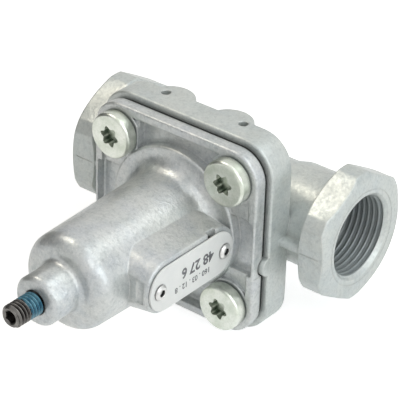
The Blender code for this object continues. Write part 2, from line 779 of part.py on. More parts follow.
def make_piston():
    """Cup-shaped pressure plate: a disc on the diaphragm and a skirt in the spring bore."""
    disc_front = piston_back - piston_disc_thickness
    groove_radius = piston_skirt_radius - ring_groove_depth
    groove_middle = (disc_front + piston_front) / 2
    groove_half = guide_ring_width / 2 + seat_gap
    shape = [(0.0, piston_back), (piston_disc_radius, piston_back), (piston_disc_radius, disc_front),
             (piston_skirt_radius, disc_front), (piston_skirt_radius, groove_middle + groove_half),
             (groove_radius, groove_middle + groove_half), (groove_radius, groove_middle - groove_half),
             (piston_skirt_radius, groove_middle - groove_half), (piston_skirt_radius, piston_front),
             (piston_cup_radius, piston_front), (piston_cup_radius, piston_cup_floor),
             (0.0, piston_cup_floor)]
    turned("piston", shape, bonnet_spot(), along_y, fine, piston_metal)
    low = groove_middle - guide_ring_width / 2
    high = groove_middle + guide_ring_width / 2
    inside = groove_radius + seat_gap
    outside = spring_bore_radius - running_gap / 2
    ring = [(inside, low), (outside, low), (outside, high), (inside, high)]
    item = turned("piston_guide_ring", ring, bonnet_spot(), along_y, fine, guide_plastic, ring=True)
    split = guide_ring_split / 2
    cut(item, box("ring split", (-split, low - split, bonnet_axis_z),
                  (split, high + split, bonnet_axis_z + outside * 2)))


def coil(name, mean_radius, wire_radius, back, front, turns, spot, points_a_turn, paint):
    """A compression spring along Y whose end turns lie flat against their seats."""
    curve = bpy.data.curves.new(name, "CURVE")
    curve.dimensions = "3D"
    curve.bevel_depth = wire_radius
    curve.bevel_resolution = 2
    curve.use_fill_caps = True
    count = int(turns * points_a_turn)
    spline = curve.splines.new("POLY")
    spline.points.add(count)
    start = back - wire_radius
    height = start - front - wire_radius
    closed = 1.0
    pitch = 2 * wire_radius + running_gap
    free_pitch = (height - 2 * closed * pitch) / (turns - 2 * closed)
    for step in range(count + 1):
        turn = turns * step / count
        if turn < closed:
            rise = pitch * turn
        elif turn > turns - closed:
            rise = height - pitch * (turns - turn)
        else:
            rise = closed * pitch + free_pitch * (turn - closed)
        angle = 2 * pi * turn
        spline.points[step].co = (mean_radius * cos(angle), start - rise, mean_radius * sin(angle), 1.0)
    item = bpy.data.objects.new(name, curve)
    item.location = spot
    curve.materials.append(paint)
    valve_group.objects.link(item)
    return item


def make_springs():
    coil("adjusting_spring", spring_mean_radius, spring_wire_radius, piston_cup_floor - seat_gap,
         spring_plate_back + seat_gap, spring_turns, bonnet_spot(), 14, spring_steel)
    coil("check_valve_spring", check_spring_radius, check_wire_radius, check_plate_front - seat_gap,
         cage_inside_top + seat_gap, check_turns, (ring_middle, 0, bonnet_axis_z), 10, spring_steel)


def make_spring_plate():
    tip_seat_radius = adjuster_radius + running_gap
    spigot_end = spring_plate_back + spigot_length
    chamfer = spigot_length / 6
    shape = [(0.0, spigot_end), (spigot_radius - chamfer, spigot_end),
             (spigot_radius, spigot_end - chamfer), (spigot_radius, spring_plate_back),
             (spring_plate_radius, spring_plate_back), (spring_plate_radius, spring_plate_front),
             (tip_seat_radius, spring_plate_front), (tip_seat_radius, spring_plate_front + tip_seat_depth),
             (0.0, spring_plate_front + tip_seat_depth)]
    turned("spring_plate", shape, bonnet_spot(), along_y, medium, plate_steel)


def make_check_valve():
    """Plate, spring and cage of the small return-flow valve in the ring chamber."""
    spot = (ring_middle, 0, bonnet_axis_z)
    bar("check_valve_plate", check_plate_radius, check_back, check_plate_front, spot, along_y, small,
        check_rubber)
    top = check_back - cage_height
    inside = cage_radius - cage_wall
    shape = [(cage_radius, check_back), (cage_radius, top), (cage_port_radius, top),
             (cage_port_radius, cage_inside_top), (inside, cage_inside_top), (inside, check_back)]
    item = turned("check_valve_cage", shape, spot, along_y, small, cage_brass, ring=True)
    window = cage_window / 2
    low = cage_inside_top + window
    high = check_plate_front - window
    cut(item, box("cage window z", (ring_middle - window, low, bonnet_axis_z - cage_radius * 2),
                  (ring_middle + window, high, bonnet_axis_z + cage_radius * 2)))
    cut(item, box("cage window x", (ring_middle - cage_radius * 2, low, bonnet_axis_z - window),
                  (ring_middle + cage_radius * 2, high, bonnet_axis_z + window)))


make_body()
make_bonnet()
make_diaphragm()
make_flange_screws()
make_adjuster()
make_nameplate()
make_rivets()
make_piston()
make_springs()
make_spring_plate()
make_check_valve()
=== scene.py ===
from math import acos, cos, pi, radians, sin, sqrt
import bpy
from mathutils import Matrix, Vector


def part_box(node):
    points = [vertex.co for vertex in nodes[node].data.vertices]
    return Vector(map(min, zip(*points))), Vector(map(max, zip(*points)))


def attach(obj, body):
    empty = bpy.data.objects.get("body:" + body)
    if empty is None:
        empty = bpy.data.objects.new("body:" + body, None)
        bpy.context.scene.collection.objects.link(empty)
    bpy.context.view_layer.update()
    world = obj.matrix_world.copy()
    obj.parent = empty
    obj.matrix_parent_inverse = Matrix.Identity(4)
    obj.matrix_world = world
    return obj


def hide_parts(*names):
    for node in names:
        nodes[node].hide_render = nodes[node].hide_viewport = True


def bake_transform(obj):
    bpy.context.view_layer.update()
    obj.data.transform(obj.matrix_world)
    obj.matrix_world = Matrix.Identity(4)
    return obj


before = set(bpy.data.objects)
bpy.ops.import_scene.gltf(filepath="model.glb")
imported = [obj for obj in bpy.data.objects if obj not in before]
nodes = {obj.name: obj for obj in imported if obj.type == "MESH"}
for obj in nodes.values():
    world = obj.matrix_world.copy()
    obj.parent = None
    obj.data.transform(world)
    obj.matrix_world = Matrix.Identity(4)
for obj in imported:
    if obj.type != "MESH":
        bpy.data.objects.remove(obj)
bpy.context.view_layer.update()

bpy.context.scene.view_settings.view_transform = "Standard"

# Lengths in the settings are millimetres. X runs along the ports, -Y along the bonnet, +Z is up.
unit = 0.001
# Shapes that cut or overlap another reach this far past it.
past = 1.0
# An edge this near to a face lies in it.
near = 0.1
# Points nearer to each other than this are one, in metres.
weld = unit / 1000


def measure(node):
    low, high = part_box(node)
    return low / unit, high / unit


bodyLow, bodyHigh = measure("body_casting")
bonnetLow, bonnetHigh = measure("bonnet_casting")
plateLow, plateHigh = measure("nameplate")
screwLow, screwHigh = measure("flange_screw_1")
adjusterLow, adjusterHigh = measure("adjusting_screw")
patchLow, patchHigh = measure("thread_lock_patch")
axisZ = (bonnetLow.z + bonnetHigh.z) / 2
plateZ = (plateLow.z + plateHigh.z) / 2
screwX = -(screwLow.x + screwHigh.x) / 2
screwZ = (screwLow.z + screwHigh.z) / 2 - axisZ


def point(values):
    return Vector(values) * unit


def deselect():
    bpy.ops.object.select_all(action="DESELECT")


def selectMesh():
    bpy.ops.mesh.select_all(action="SELECT")


def mode(name):
    bpy.ops.object.mode_set(mode=name)


# Brings the selected piece's turn and size into its mesh, with its origin at the frame's.
def settle():
    bpy.ops.object.transform_apply(location=True, rotation=True, scale=True)


def only(item):
    deselect()
    item.select_set(True)
    bpy.context.view_layer.objects.active = item
    return item


def startNew(name):
    item = bpy.context.object
    item.name = name
    item.data.name = name
    return item


# An outline drawn as by hand: one vertex, pulled along from point to point.
def drawLine(name, places, closed=False):
    deselect()
    bpy.ops.mesh.primitive_plane_add(size=unit)
    item = startNew(name)
    mode("EDIT")
    bpy.ops.mesh.select_mode(type="VERT")
    selectMesh()
    bpy.ops.mesh.merge(type="CENTER")
    here = point(places[0])
    bpy.ops.transform.translate(value=here)
    for place in places[1:] + (places[:1] if closed else []):
        there = point(place)
        bpy.ops.mesh.extrude_region_move(TRANSFORM_OT_translate={"value": there - here})
        here = there
    selectMesh()
    bpy.ops.mesh.remove_doubles(threshold=weld)
    return item


# Fills the outline that is being drawn and pulls it out.
def pullOut(way):
    bpy.ops.mesh.edge_face_add()
    bpy.ops.mesh.extrude_region_move(TRANSFORM_OT_translate={"value": point(way)})


# Welds the piece that is being drawn, turns its faces outward and ends the drawing.
def closeUp(item, limit=weld):
    selectMesh()
    bpy.ops.mesh.remove_doubles(threshold=limit)
    bpy.ops.mesh.normals_make_consistent(inside=False)
    mode("OBJECT")
    return item


def around(axis, spot, radius, along):
    if axis == "X":
        return (spot[0] + along, spot[1], spot[2] + radius)
    if axis == "Y":
        return (spot[0] + radius, spot[1] + along, spot[2])
    return (spot[0] + radius, spot[1], spot[2] + along)


axisWay = {"X": (1, 0, 0), "Y": (0, 1, 0), "Z": (0, 0, 1)}


# A turned shape: the profile holds (radius, place along the axis).
def lathe(name, profile, spot=(0, 0, 0), axis="Y", steps=128, closed=False):
    places = [around(axis, spot, radius, along) for radius, along in profile]
    item = drawLine(name, places, closed)
    bpy.ops.mesh.spin(steps=steps, angle=2 * pi, center=point(spot), axis=axisWay[axis])
    return closeUp(item)


def rod(name, radius, start, end, spot=(0, 0, 0), axis="Y", steps=64):
    return lathe(name, [(0, start), (radius, start), (radius, end), (0, end)], spot, axis, steps)


def arc(middle, along, radius, start, end, count):
    made = []
    for step in range(count + 1):
        angle = radians(start + (end - start) * step / count)
        made.append((middle + radius * cos(angle), along + radius * sin(angle)))
    return made


# A block between two corners.
def block(name, low, high):
    deselect()
    low, high = point(low), point(high)
    bpy.ops.mesh.primitive_cube_add(size=1, location=(low + high) / 2)
    item = startNew(name)
    item.scale = high - low
    settle()
    return item


# A six-sided bar lying on its middle.
def hexBar(name, flats, depth, turn, middle):
    deselect()
    bpy.ops.mesh.primitive_cylinder_add(vertices=6, radius=flats / sqrt(3) * unit, depth=depth * unit,
                                        rotation=turn, location=point(middle))
    item = startNew(name)
    settle()
    return item


# Bevels the edges of a piece that a test on their middle and direction picks out.
def bevelEdges(item, test, width, segments):
    only(item)
    mode("EDIT")
    bpy.ops.mesh.select_mode(type="EDGE")
    bpy.ops.mesh.select_all(action="DESELECT")
    mode("OBJECT")
    mesh = item.data
    for edge in mesh.edges:
        a, b = (mesh.vertices[i].co for i in edge.vertices)
        edge.select = test((a + b) / 2 / unit, (b - a).normalized())
    mode("EDIT")
    bpy.ops.mesh.bevel(offset=width * unit, segments=segments, affect="EDGES")
    mode("OBJECT")
    return item


def combine(item, other, operation):
    only(item)
    step = item.modifiers.new("join", "BOOLEAN")
    step.operation = operation
    step.solver = "EXACT"
    step.object = other
    bpy.ops.object.modifier_apply(modifier=step.name)
    bpy.data.objects.remove(other, do_unlink=True)
    return item


def cut(item, other):
    return combine(item, other, "DIFFERENCE")


def join(item, other):
    return combine(item, other, "UNION")


# Tests for edges that run along the bonnet's axis or across it.
def isAlong(middle, way):
    return abs(way.y) > 0.9


def isAcross(middle, way):
    return abs(way.y) < 0.1


# A rounded square plate across the bonnet's axis.
def slab(name, half, corner, back, front, edge=0.0):
    item = block(name, (-half, front, axisZ - half), (half, back, axisZ + half))
    bevelEdges(item, isAlong, corner, 16)
    if edge:
        bevelEdges(item, isAcross, edge, 4)
    return item


# Where a thread's tooth changes slope, in pitches.
tooth = {
    "root": 0.14,
    "rise": 0.48,
    "crest": 0.66,
}


# A threaded rod: a row of teeth turned once round while it moves on by one pitch.
def threadedRod(name, root, crest, pitch, start, end, spot, axis, steps=96):
    low, high = min(start, end) - 2 * pitch, max(start, end) + 2 * pitch
    teeth = int(round((high - low) / pitch))
    profile = []
    for step in range(teeth):
        base = low + step * pitch
        profile += [(root, base), (root, base + pitch * tooth["root"]),
                    (crest, base + pitch * tooth["rise"]), (crest, base + pitch * tooth["crest"])]
    places = [around(axis, spot, radius, along) for radius, along in profile]
    item = drawLine(name, places)
    mode("OBJECT")
    turn = item.modifiers.new("turn", "SCREW")
    turn.axis = axis
    turn.steps = steps
    turn.render_steps = steps
    turn.screw_offset = pitch * unit
    turn.use_merge_vertices = True
    turn.merge_threshold = weld
    centre = drawCentre(point(spot))
    turn.object = centre
    only(item)
    bpy.ops.object.modifier_apply(modifier=turn.name)
    bpy.data.objects.remove(centre, do_unlink=True)
    mode("EDIT")
    way = Vector(axisWay[axis])
    for level, outside in ((min(start, end), -1), (max(start, end), 1)):
        selectMesh()
        bpy.ops.mesh.bisect(plane_co=point(spot) + way * level * unit, plane_no=way * outside,
                            use_fill=True, clear_outer=True, threshold=unit / 10000)
    return closeUp(item)


def drawCentre(place):
    deselect()
    bpy.ops.object.empty_add(location=place)
    return bpy.context.object


def screwPlaces():
    for side, up in ((-1, 1), (1, 1), (1, -1), (-1, -1)):
        yield side * screwX, axisZ + up * screwZ


body = {
    "jointY": -19.2,
    "flangeBack": -11.2,
    "flangeHalf": bodyHigh.z - axisZ,
    "corner": 8.8,
    "edge": 0.5,
    "backEdge": 0.9,
    "hexFlats": 32.0,
    "hexCorner": 17.45,
    "hexFace": 15.4,
    "hexLength": 7.8,
    "hexChamfer": 1.0,
    "ridge": 0.16,
    "ridgeBack": 0.8,
    "ridgeFront": 1.6,
    "neck": 12.5,
    "neckWaist": 11.5,
    "neckShoulder": 20.0,
    "neckTaper": 3.5,
    "neckSoft": 0.8,
    "neckDrop": 0.08,
    "waistRise": 0.1,
    "neckFillet": 1.6,
    "ribReach": 15.7,
    "ribHalf": 1.0,
    "ribRound": 0.75,
    "lugRadius": 6.2,
    "lugPitch": 18.0,
    "lugBack": 3.1,
    "drum": 19.2,
    "drumDepth": 2.7,
    "drumRound": 6.5,
    "nub": 2.4,
    "nubDrop": 5.2,
    "nubLength": 2.6,
    "topHole": 1.25,
    "topHoleX": 12.0,
    "topHoleShift": 0.5,
    "topHoleY": -13.25,
    "topHoleDepth": 6.0,
    "tappedHole": 3.2,
}

port = {
    "minor": 10.2,
    "major": 11.0,
    "pitch": 1.5,
    "threadDepth": 14.0,
    "threadBack": 1.5,
    "threadOver": 1.2,
    "drillCone": 3.0,
    "drillOver": 0.03,
    "drillEnd": 0.5,
    "passage": 6.0,
    "mouth": 11.5,
    "ring": 12.6,
    "ringHalf": 0.14,
    "ringDepth": 0.12,
    # Painted shade deep in the bores: its colour and how strongly it is mixed in.
    "boreShadeColor": (0.17, 0.20, 0.21, 1),
    "darkness": 0.65,
    "plainMouth": 1.0,
}

seat = {
    "bore": 5.8,
    "outer": 8.0,
    "chamber": 15.0,
    "floor": -9.0,
    "transfer": 3.2,
    "checkHole": 1.3,
    "cage": 3.25,
    "cageSink": 0.8,
    "overlap": 0.3,
}


# The six-sided bar of a port end, cut to a chamfered turned shape.
def hexEnd(side):
    outer, inner = bodyHigh.x, bodyHigh.x - body["hexLength"]
    chamfer = body["hexChamfer"]
    profile = [(0, outer), (body["hexFace"], outer), (body["hexCorner"], outer - chamfer),
               (body["hexCorner"], inner + chamfer), (body["hexFace"], inner), (0, inner)]
    item = lathe("hex end", [(r, side * x) for r, x in profile], axis="X")
    middle = (side * (outer + inner) / 2, 0, 0)
    bar = hexBar("hex bar", body["hexFlats"], body["hexLength"] * 2, (pi / 2, 0, pi / 2), middle)
    combine(item, bar, "INTERSECT")
    low, high = sorted((side * (inner + body["ridgeBack"]), side * (outer - body["ridgeFront"])))
    flat, out = body["hexFlats"] / 2, body["ridge"]
    ridge = block("parting ridge", (low, -flat - out, -out), (high, -flat + past, out))
    bevelEdges(ridge, lambda middle, way: middle.y < -flat - out / 2, out / 2, 2)
    return join(item, ridge)


def neckTube():
    root = body["neck"] + body["neckFillet"]
    inner = bodyHigh.x - body["hexLength"]
    half = [(0, inner + 2 * past), (root, inner + 2 * past)]
    half += [(r, x) for x, r in arc(inner - body["neckFillet"], root, body["neckFillet"], 0, -90, 6)]
    shoulder, soft, drop = body["neckShoulder"], body["neckSoft"], body["neckDrop"]
    waist = shoulder - body["neckTaper"]
    half += [(body["neck"], shoulder + soft / 2), (body["neck"] - drop, shoulder - soft / 2),
             (body["neckWaist"] + body["waistRise"], waist), (body["neckWaist"], waist - soft)]
    other = [(r, -x) for r, x in reversed(half)]
    return lathe("neck tube", half + other, axis="X")


def drumShape():
    back = body["flangeBack"] + body["drumDepth"]
    start = (body["jointY"] + body["flangeBack"]) / 2
    profile = [(0, start), (body["drum"], start)]
    profile += arc(body["drum"] - body["drumRound"], back, body["drumRound"], 0, 90, 12)
    profile += [(0, back + body["drumRound"])]
    return lathe("drum", profile, (0, 0, axisZ))


def lugShape(side):
    spot = (side * body["lugPitch"] / 2, body["flangeBack"] + body["lugBack"] - body["lugRadius"], 0)
    top = axisZ + body["flangeHalf"]
    foot = axisZ + body["lugRadius"]
    edge = body["edge"]
    profile = [(0, foot), (body["lugRadius"], foot), (body["lugRadius"], top - edge)]
    profile += arc(body["lugRadius"] - edge, top - edge, edge, 0, 90, 3)
    profile += [(0, top)]
    item = lathe("lug", profile, spot, "Z", 64)
    far = body["lugRadius"] + past
    low, high = (spot[0] - far, spot[1], foot - past), (spot[0] + far, spot[1] + far, top + past)
    keep = block("lug keep", low, high)
    return combine(item, keep, "INTERSECT")


def ribShape(side):
    inner, outer = body["neckWaist"], bodyHigh.x - body["hexLength"] + body["hexChamfer"]
    low, high = sorted((side * inner, side * outer))
    reach, half = body["ribReach"], body["ribHalf"]
    item = block("rib", (low, -reach, -half), (high, -body["neck"] / 2, half))
    return bevelEdges(item, lambda middle, way: middle.y < -reach + near, body["ribRound"], 4)


def nubShape(name, radius, extra):
    low = body["flangeHalf"] - body["nubLength"] - extra
    return rod(name, radius, low, body["flangeHalf"] + extra, (0, body["jointY"], -body["nubDrop"]), "X", 48)


def portHole(side):
    outer = bodyHigh.x
    inner = -seat["bore"] / 2 if side > 0 else (seat["outer"] + seat["chamber"]) / 2 - seat["transfer"]
    end = outer - port["threadDepth"]
    slope = port["mouth"] - port["minor"]
    drill = port["minor"] + port["drillOver"]
    profile = [(0, outer + slope), (port["mouth"] + slope, outer + slope), (drill, outer - slope),
               (drill, end + port["drillEnd"]), (port["passage"], end - port["drillCone"]),
               (port["passage"], inner), (0, inner)]
    return lathe("port hole", [(r, side * x) for r, x in profile], axis="X", steps=127)


def portThread(side):
    outer = bodyHigh.x
    start = side * (outer - port["threadDepth"] + port["threadBack"])
    end = side * (outer + port["threadOver"])
    return threadedRod("port thread", port["minor"], port["major"], port["pitch"], start, end, (0, 0, 0), "X")


# The fine line left by the facing tool round the port.
def portRing(side):
    outer, ring, half, deep = bodyHigh.x, port["ring"], port["ringHalf"], port["ringDepth"]
    profile = [(ring - half, outer + near), (ring + half, outer + near), (ring + half, outer - deep / 2),
               (ring, outer - deep), (ring - half, outer - deep / 2)]
    return lathe("port ring", [(r, side * x) for r, x in profile], axis="X", steps=113, closed=True)


def makeBody():
    item = slab("bodyShell", body["flangeHalf"], body["corner"], body["flangeBack"], body["jointY"])
    front, back = body["jointY"] + near, body["flangeBack"] - near
    bevelEdges(item, lambda middle, way: isAcross(middle, way) and middle.y < front, body["edge"], 4)
    bevelEdges(item, lambda middle, way: isAcross(middle, way) and middle.y > back, body["backEdge"], 6)
    join(item, drumShape())
    join(item, neckTube())
    for side in (-1, 1):
        join(item, lugShape(side))
        join(item, ribShape(side))
        join(item, hexEnd(side))
    join(item, nubShape("nub", body["nub"], 0))
    spot = (0, 0, axisZ)
    front = body["jointY"] - past
    over = seat["floor"] - seat["overlap"]
    ringProfile = [(seat["outer"], front), (seat["chamber"], front), (seat["chamber"], seat["floor"]),
                   (seat["outer"], seat["floor"])]
    cut(item, lathe("chamber", ringProfile, spot, closed=True))
    cut(item, rod("seat bore", seat["bore"], front, port["passage"] / 2, spot))
    for side in (-1, 1):
        cut(item, portThread(side))
        cut(item, portHole(side))
        cut(item, portRing(side))
    ringMiddle = (seat["outer"] + seat["chamber"]) / 2
    cut(item, rod("transfer", seat["transfer"], over, 0, (-ringMiddle, 0, axisZ), steps=32))
    sunk = seat["floor"] + seat["cageSink"]
    checkProfile = [(0, over), (seat["cage"], over), (seat["cage"], sunk), (seat["checkHole"], sunk),
                    (seat["checkHole"], 0), (0, 0)]
    cut(item, lathe("check seat", checkProfile, (ringMiddle, 0, axisZ), steps=31))
    for x, z in screwPlaces():
        end = body["flangeBack"] + past
        cut(item, rod("tapped hole", body["tappedHole"], front, end, (x, 0, z), steps=48))
    top = axisZ + body["flangeHalf"]
    for side in (-1, 1):
        spot = (body["topHoleShift"] + side * body["topHoleX"], body["topHoleY"], 0)
        low = top - body["topHoleDepth"]
        cut(item, rod("top hole", body["topHole"], low, top + past, spot, "Z", 32))
    return item


cover = {
    "back": -20.2,
    "front": -23.8,
    "half": bonnetHigh.x,
    "corner": 7.6,
    "edge": 0.55,
    "lip": 2.2,
    "inset": 0.8,
    "floor": -21.2,
    "boss": 6.7,
    "widePocket": 23.4,
    "sidePocket": 15.0,
    "pocketCorner": 0.7,
    "pocketFillet": 0.5,
    "pocketGap": 0.1,
    "sideWall": 0.75,
    "sideRelief": 0.14,
    "reliefMargin": 0.6,
    "reliefBack": 0.4,
    "nubGap": 0.3,
    "screwHole": 3.2,
}

bonnet = {
    "ring": 18.9,
    "ringTop": -24.0,
    "ringEdge": 0.6,
    "footFillet": 4.4,
    "barrel": 13.3,
    "draft": 0.025,
    "shoulder": -61.0,
    "shoulderRound": 3.9,
    "nose": 6.4,
    "noseFillet": 1.3,
    "noseChamfer": 0.9,
    "noseSoft": (0.15, 0.12, 0.1),
    "noseEnd": bonnetLow.y,
    "bore": 10.6,
    "boreEnd": -60.4,
    "recess": 14.6,
    "recessDepth": 3.3,
    "boreChamfer": 1.0,
    "screwHole": 3.04,
    "screwMouth": 0.2,
    "mouthPast": 0.5,
}

pad = {
    "face": plateLow.x - 0.15,
    "inner": 8.55,
    "half": 6.8,
    "innerHalf": 8.68,
    "edge": 0.45,
    "cut": 0.9,
    "stripInset": 1.7,
    "stripWidth": 1.9,
    "stripHalf": 3.0,
    "stripDepth": 0.35,
    "stripRound": 0.12,
    "rivetHole": 1.45,
    "rivetDepth": 3.0,
    "ventShift": 7.75,
    "ventUp": 4.2,
    "ventWidth": 3.0,
    "ventDepth": 1.0,
    "ventRound": 0.15,
    "vent": 1.1,
}


def coverInset():
    inner = cover["half"] - cover["lip"]
    item = slab("inset", inner, cover["corner"] - cover["lip"], cover["front"] + cover["inset"],
                cover["front"] - 2 * past)
    for x, z in screwPlaces():
        cut(item, rod("boss keep", cover["boss"], cover["back"], cover["front"] - 3 * past, (x, 0, z)))
    return item


def pocketShape(lowX, highX, lowZ, highZ):
    front, floor = cover["front"] - past, cover["floor"]
    item = block("pocket", (lowX, front, axisZ + lowZ), (highX, floor, axisZ + highZ))
    bevelEdges(item, isAlong, cover["pocketCorner"], 4)
    return bevelEdges(item, lambda middle, way: middle.y > floor - near / 2, cover["pocketFillet"], 3)


def barrelShape():
    start = (cover["back"] + cover["floor"]) / 2
    footEnd = bonnet["ringTop"] - bonnet["footFillet"]
    endRadius = bonnet["barrel"] - bonnet["draft"] * (footEnd - bonnet["shoulder"])
    faceY = bonnet["shoulder"] - bonnet["shoulderRound"]
    edge = bonnet["ringEdge"]
    profile = [(0, start), (bonnet["ring"], start)]
    profile += arc(bonnet["ring"] - edge, bonnet["ringTop"] + edge, edge, 0, -90, 4)
    profile += arc(bonnet["barrel"] + bonnet["footFillet"], footEnd, bonnet["footFillet"], 90, 180, 12)
    shoulder, bend = bonnet["shoulder"], bonnet["shoulderRound"]
    profile += arc(endRadius - bend, shoulder, bend, 0, -90, 14)
    profile += arc(bonnet["nose"] + bonnet["noseFillet"], faceY - bonnet["noseFillet"], bonnet["noseFillet"],
                   90, 180, 8)
    nose, noseEnd, chamfer = bonnet["nose"], bonnet["noseEnd"], bonnet["noseChamfer"]
    out, sink, back = bonnet["noseSoft"]
    profile += [(nose, noseEnd + chamfer + out), (nose - sink, noseEnd + chamfer - back),
                (nose - chamfer + back, noseEnd + sink), (nose - chamfer - out, noseEnd), (0, noseEnd)]
    return lathe("barrel", profile, (0, 0, axisZ), steps=160)


def barrelCavity():
    recessFloor = cover["back"] - bonnet["recessDepth"]
    bore, hole, end, chamfer = bonnet["bore"], bonnet["screwHole"], bonnet["boreEnd"], bonnet["boreChamfer"]
    mouth, outside = bonnet["screwMouth"], bonnet["noseEnd"] - bonnet["mouthPast"]
    profile = [(0, body["jointY"]), (bonnet["recess"], body["jointY"]), (bonnet["recess"], recessFloor),
               (bore, recessFloor), (bore, end + chamfer), (bore - chamfer, end), (hole, end),
               (hole, bonnet["noseEnd"] + mouth), (hole + mouth + bonnet["mouthPast"], outside), (0, outside)]
    return lathe("cavity", profile, (0, 0, axisZ), steps=128)


# The plate's seat: an outline on the barrel's side, drawn out to the plate and wider at its root.
def padShape():
    plateRound = (plateHigh.z - plateLow.z) / 2
    frontMiddle = plateLow.y + plateRound
    reach = pad["half"] - pad["cut"]
    angle = acos(reach / pad["half"]) * 180 / pi
    outline = arc(frontMiddle, axisZ, pad["half"], 90, 180 - angle, 10)
    outline += arc(frontMiddle, axisZ, pad["half"], 180 + angle, 270, 10)
    outline += arc(plateHigh.y - plateRound, axisZ, pad["half"], -90, 90, 20)
    item = drawLine("pad", [(pad["face"], y, z) for y, z in outline], closed=True)
    pullOut((pad["inner"] - pad["face"], 0, 0))
    grow = pad["innerHalf"] / pad["half"]
    bpy.ops.transform.resize(value=(1, 1, grow), center_override=point((pad["inner"], frontMiddle, axisZ)))
    closeUp(item)
    bevelEdges(item, lambda middle, way: middle.x > pad["face"] - near / 2, pad["edge"], 4)
    end = frontMiddle - reach
    outer = pad["face"] - pad["stripInset"]
    strip = block("strip", (outer - pad["stripWidth"], end - past, axisZ - pad["stripHalf"]),
                  (outer, end + pad["stripDepth"], axisZ + pad["stripHalf"]))
    bevelEdges(strip, lambda middle, way: middle.y > end, pad["stripRound"], 2)
    return cut(item, strip)


def rivetPlaces():
    for low, high in (measure("nameplate_rivet_1"), measure("nameplate_rivet_2")):
        yield (low.y + high.y) / 2


def makeBonnet():
    item = slab("bonnetShell", cover["half"], cover["corner"], cover["back"], cover["front"], cover["edge"])
    cut(item, coverInset())
    outer = cover["half"] - cover["lip"] - cover["pocketGap"]
    inner = bonnet["ring"] / 2
    wide, side = cover["widePocket"] / 2, cover["sidePocket"] / 2
    cut(item, pocketShape(-wide, wide, inner, outer))
    cut(item, pocketShape(-wide, wide, -outer, -inner))
    for way in (-1, 1):
        wall = cover["half"] - cover["sideWall"]
        cut(item, pocketShape(*sorted((way * inner, way * wall)), -side, side))
        low, high = sorted((way * (cover["half"] - cover["sideRelief"]), way * (cover["half"] + past)))
        half = side + cover["reliefMargin"]
        cut(item, block("side relief", (low, cover["front"] - past, axisZ - half),
                        (high, cover["back"] - cover["reliefBack"], axisZ + half)))
    join(item, barrelShape())
    join(item, padShape())
    cut(item, barrelCavity())
    for x, z in screwPlaces():
        end = cover["front"] - past
        cut(item, rod("clearance", cover["screwHole"], body["jointY"], end, (x, 0, z), steps=48))
    cut(item, nubShape("nub notch", body["nub"] + cover["nubGap"], cover["nubGap"]))
    for y in rivetPlaces():
        low = plateLow.x - pad["rivetDepth"]
        cut(item, rod("rivet hole", pad["rivetHole"], low, plateHigh.x, (0, y, plateZ), "X", 24))
    ventZ = axisZ + pad["ventUp"]
    ventY = (plateLow.y + plateHigh.y) / 2 + pad["ventShift"]
    half = pad["ventWidth"] / 2
    cut(item, rod("vent", pad["vent"], bonnet["bore"] / 2, plateHigh.x, (0, ventY, ventZ), "X", 24))
    notch = block("vent notch", (pad["face"] - pad["ventDepth"], ventY - half, ventZ),
                  (plateHigh.x, ventY + half, axisZ + pad["half"] + pad["vent"]))
    bevelEdges(notch, lambda middle, way: middle.x < pad["face"], pad["ventRound"], 3)
    return cut(item, notch)


head = {
    "radius": 6.0,
    "under": cover["front"] - 0.15,
    "foot": 5.7,
    "underSoft": 0.25,
    "side": 2.65,
    "crown": 0.94,
    "dish": 0.02,
    "face": 5.15,
    "lobeOuter": 2.8,
    "lobeInner": 1.98,
    "socket": 2.3,
    "shank": 2.9,
    "root": 2.5,
    "pitch": 1.0,
    "turns": (8, -6, 12, 25),
}


def lobes(name, x, z, level, depth):
    middle = (head["lobeOuter"] + head["lobeInner"]) / 2
    wave = (head["lobeOuter"] - head["lobeInner"]) / 2
    places = []
    for step in range(96):
        angle = 2 * pi * step / 96
        reach = middle + wave * cos(6 * angle)
        places.append((x + reach * cos(angle), level - past, z + reach * sin(angle)))
    item = drawLine(name, places, closed=True)
    pullOut((0, depth + past, 0))
    return closeUp(item)


# One screw on the Y axis. The four in the flange are copies of it.
def makeFlangeScrew():
    under, top = head["under"], screwLow.y
    face = head["face"]
    sideEnd = under - head["side"]
    soft = head["underSoft"]
    profile = [(0, under), (head["foot"], under), (head["radius"], under - soft), (head["radius"], sideEnd)]
    drop = (sideEnd - top) * head["crown"]
    for step in range(1, 11):
        angle = radians(9 * step)
        profile.append((face + (head["radius"] - face) * cos(angle), sideEnd - drop * sin(angle)))
    profile += [(face - soft, top + head["dish"]), (face - soft * 2, top), (0, top)]
    item = lathe("screw model", profile, steps=96)
    shank = threadedRod("shank", head["root"], head["shank"], head["pitch"], under - past, screwHigh.y,
                        (0, 0, 0), "Y", 48)
    join(item, shank)
    cut(item, lobes("lobes", 0, 0, top, head["socket"]))
    return item


def copyOf(item, name, spot, turn):
    only(item)
    bpy.ops.object.duplicate()
    made = startNew(name)
    made.rotation_euler = (0, radians(turn), 0)
    made.location = point(spot)
    settle()
    return made


adjuster = {
    "major": 2.98,
    "root": 2.42,
    "pitch": 1.0,
    "chamfer": 0.7,
    "endSlack": 0.1,
    "skin": 0.03,
    "socketFlats": 3.0,
    "socketDepth": 3.5,
    "mouth": (2.05, 1.45),
    "mouthLevels": (0.2, 0.4),
}


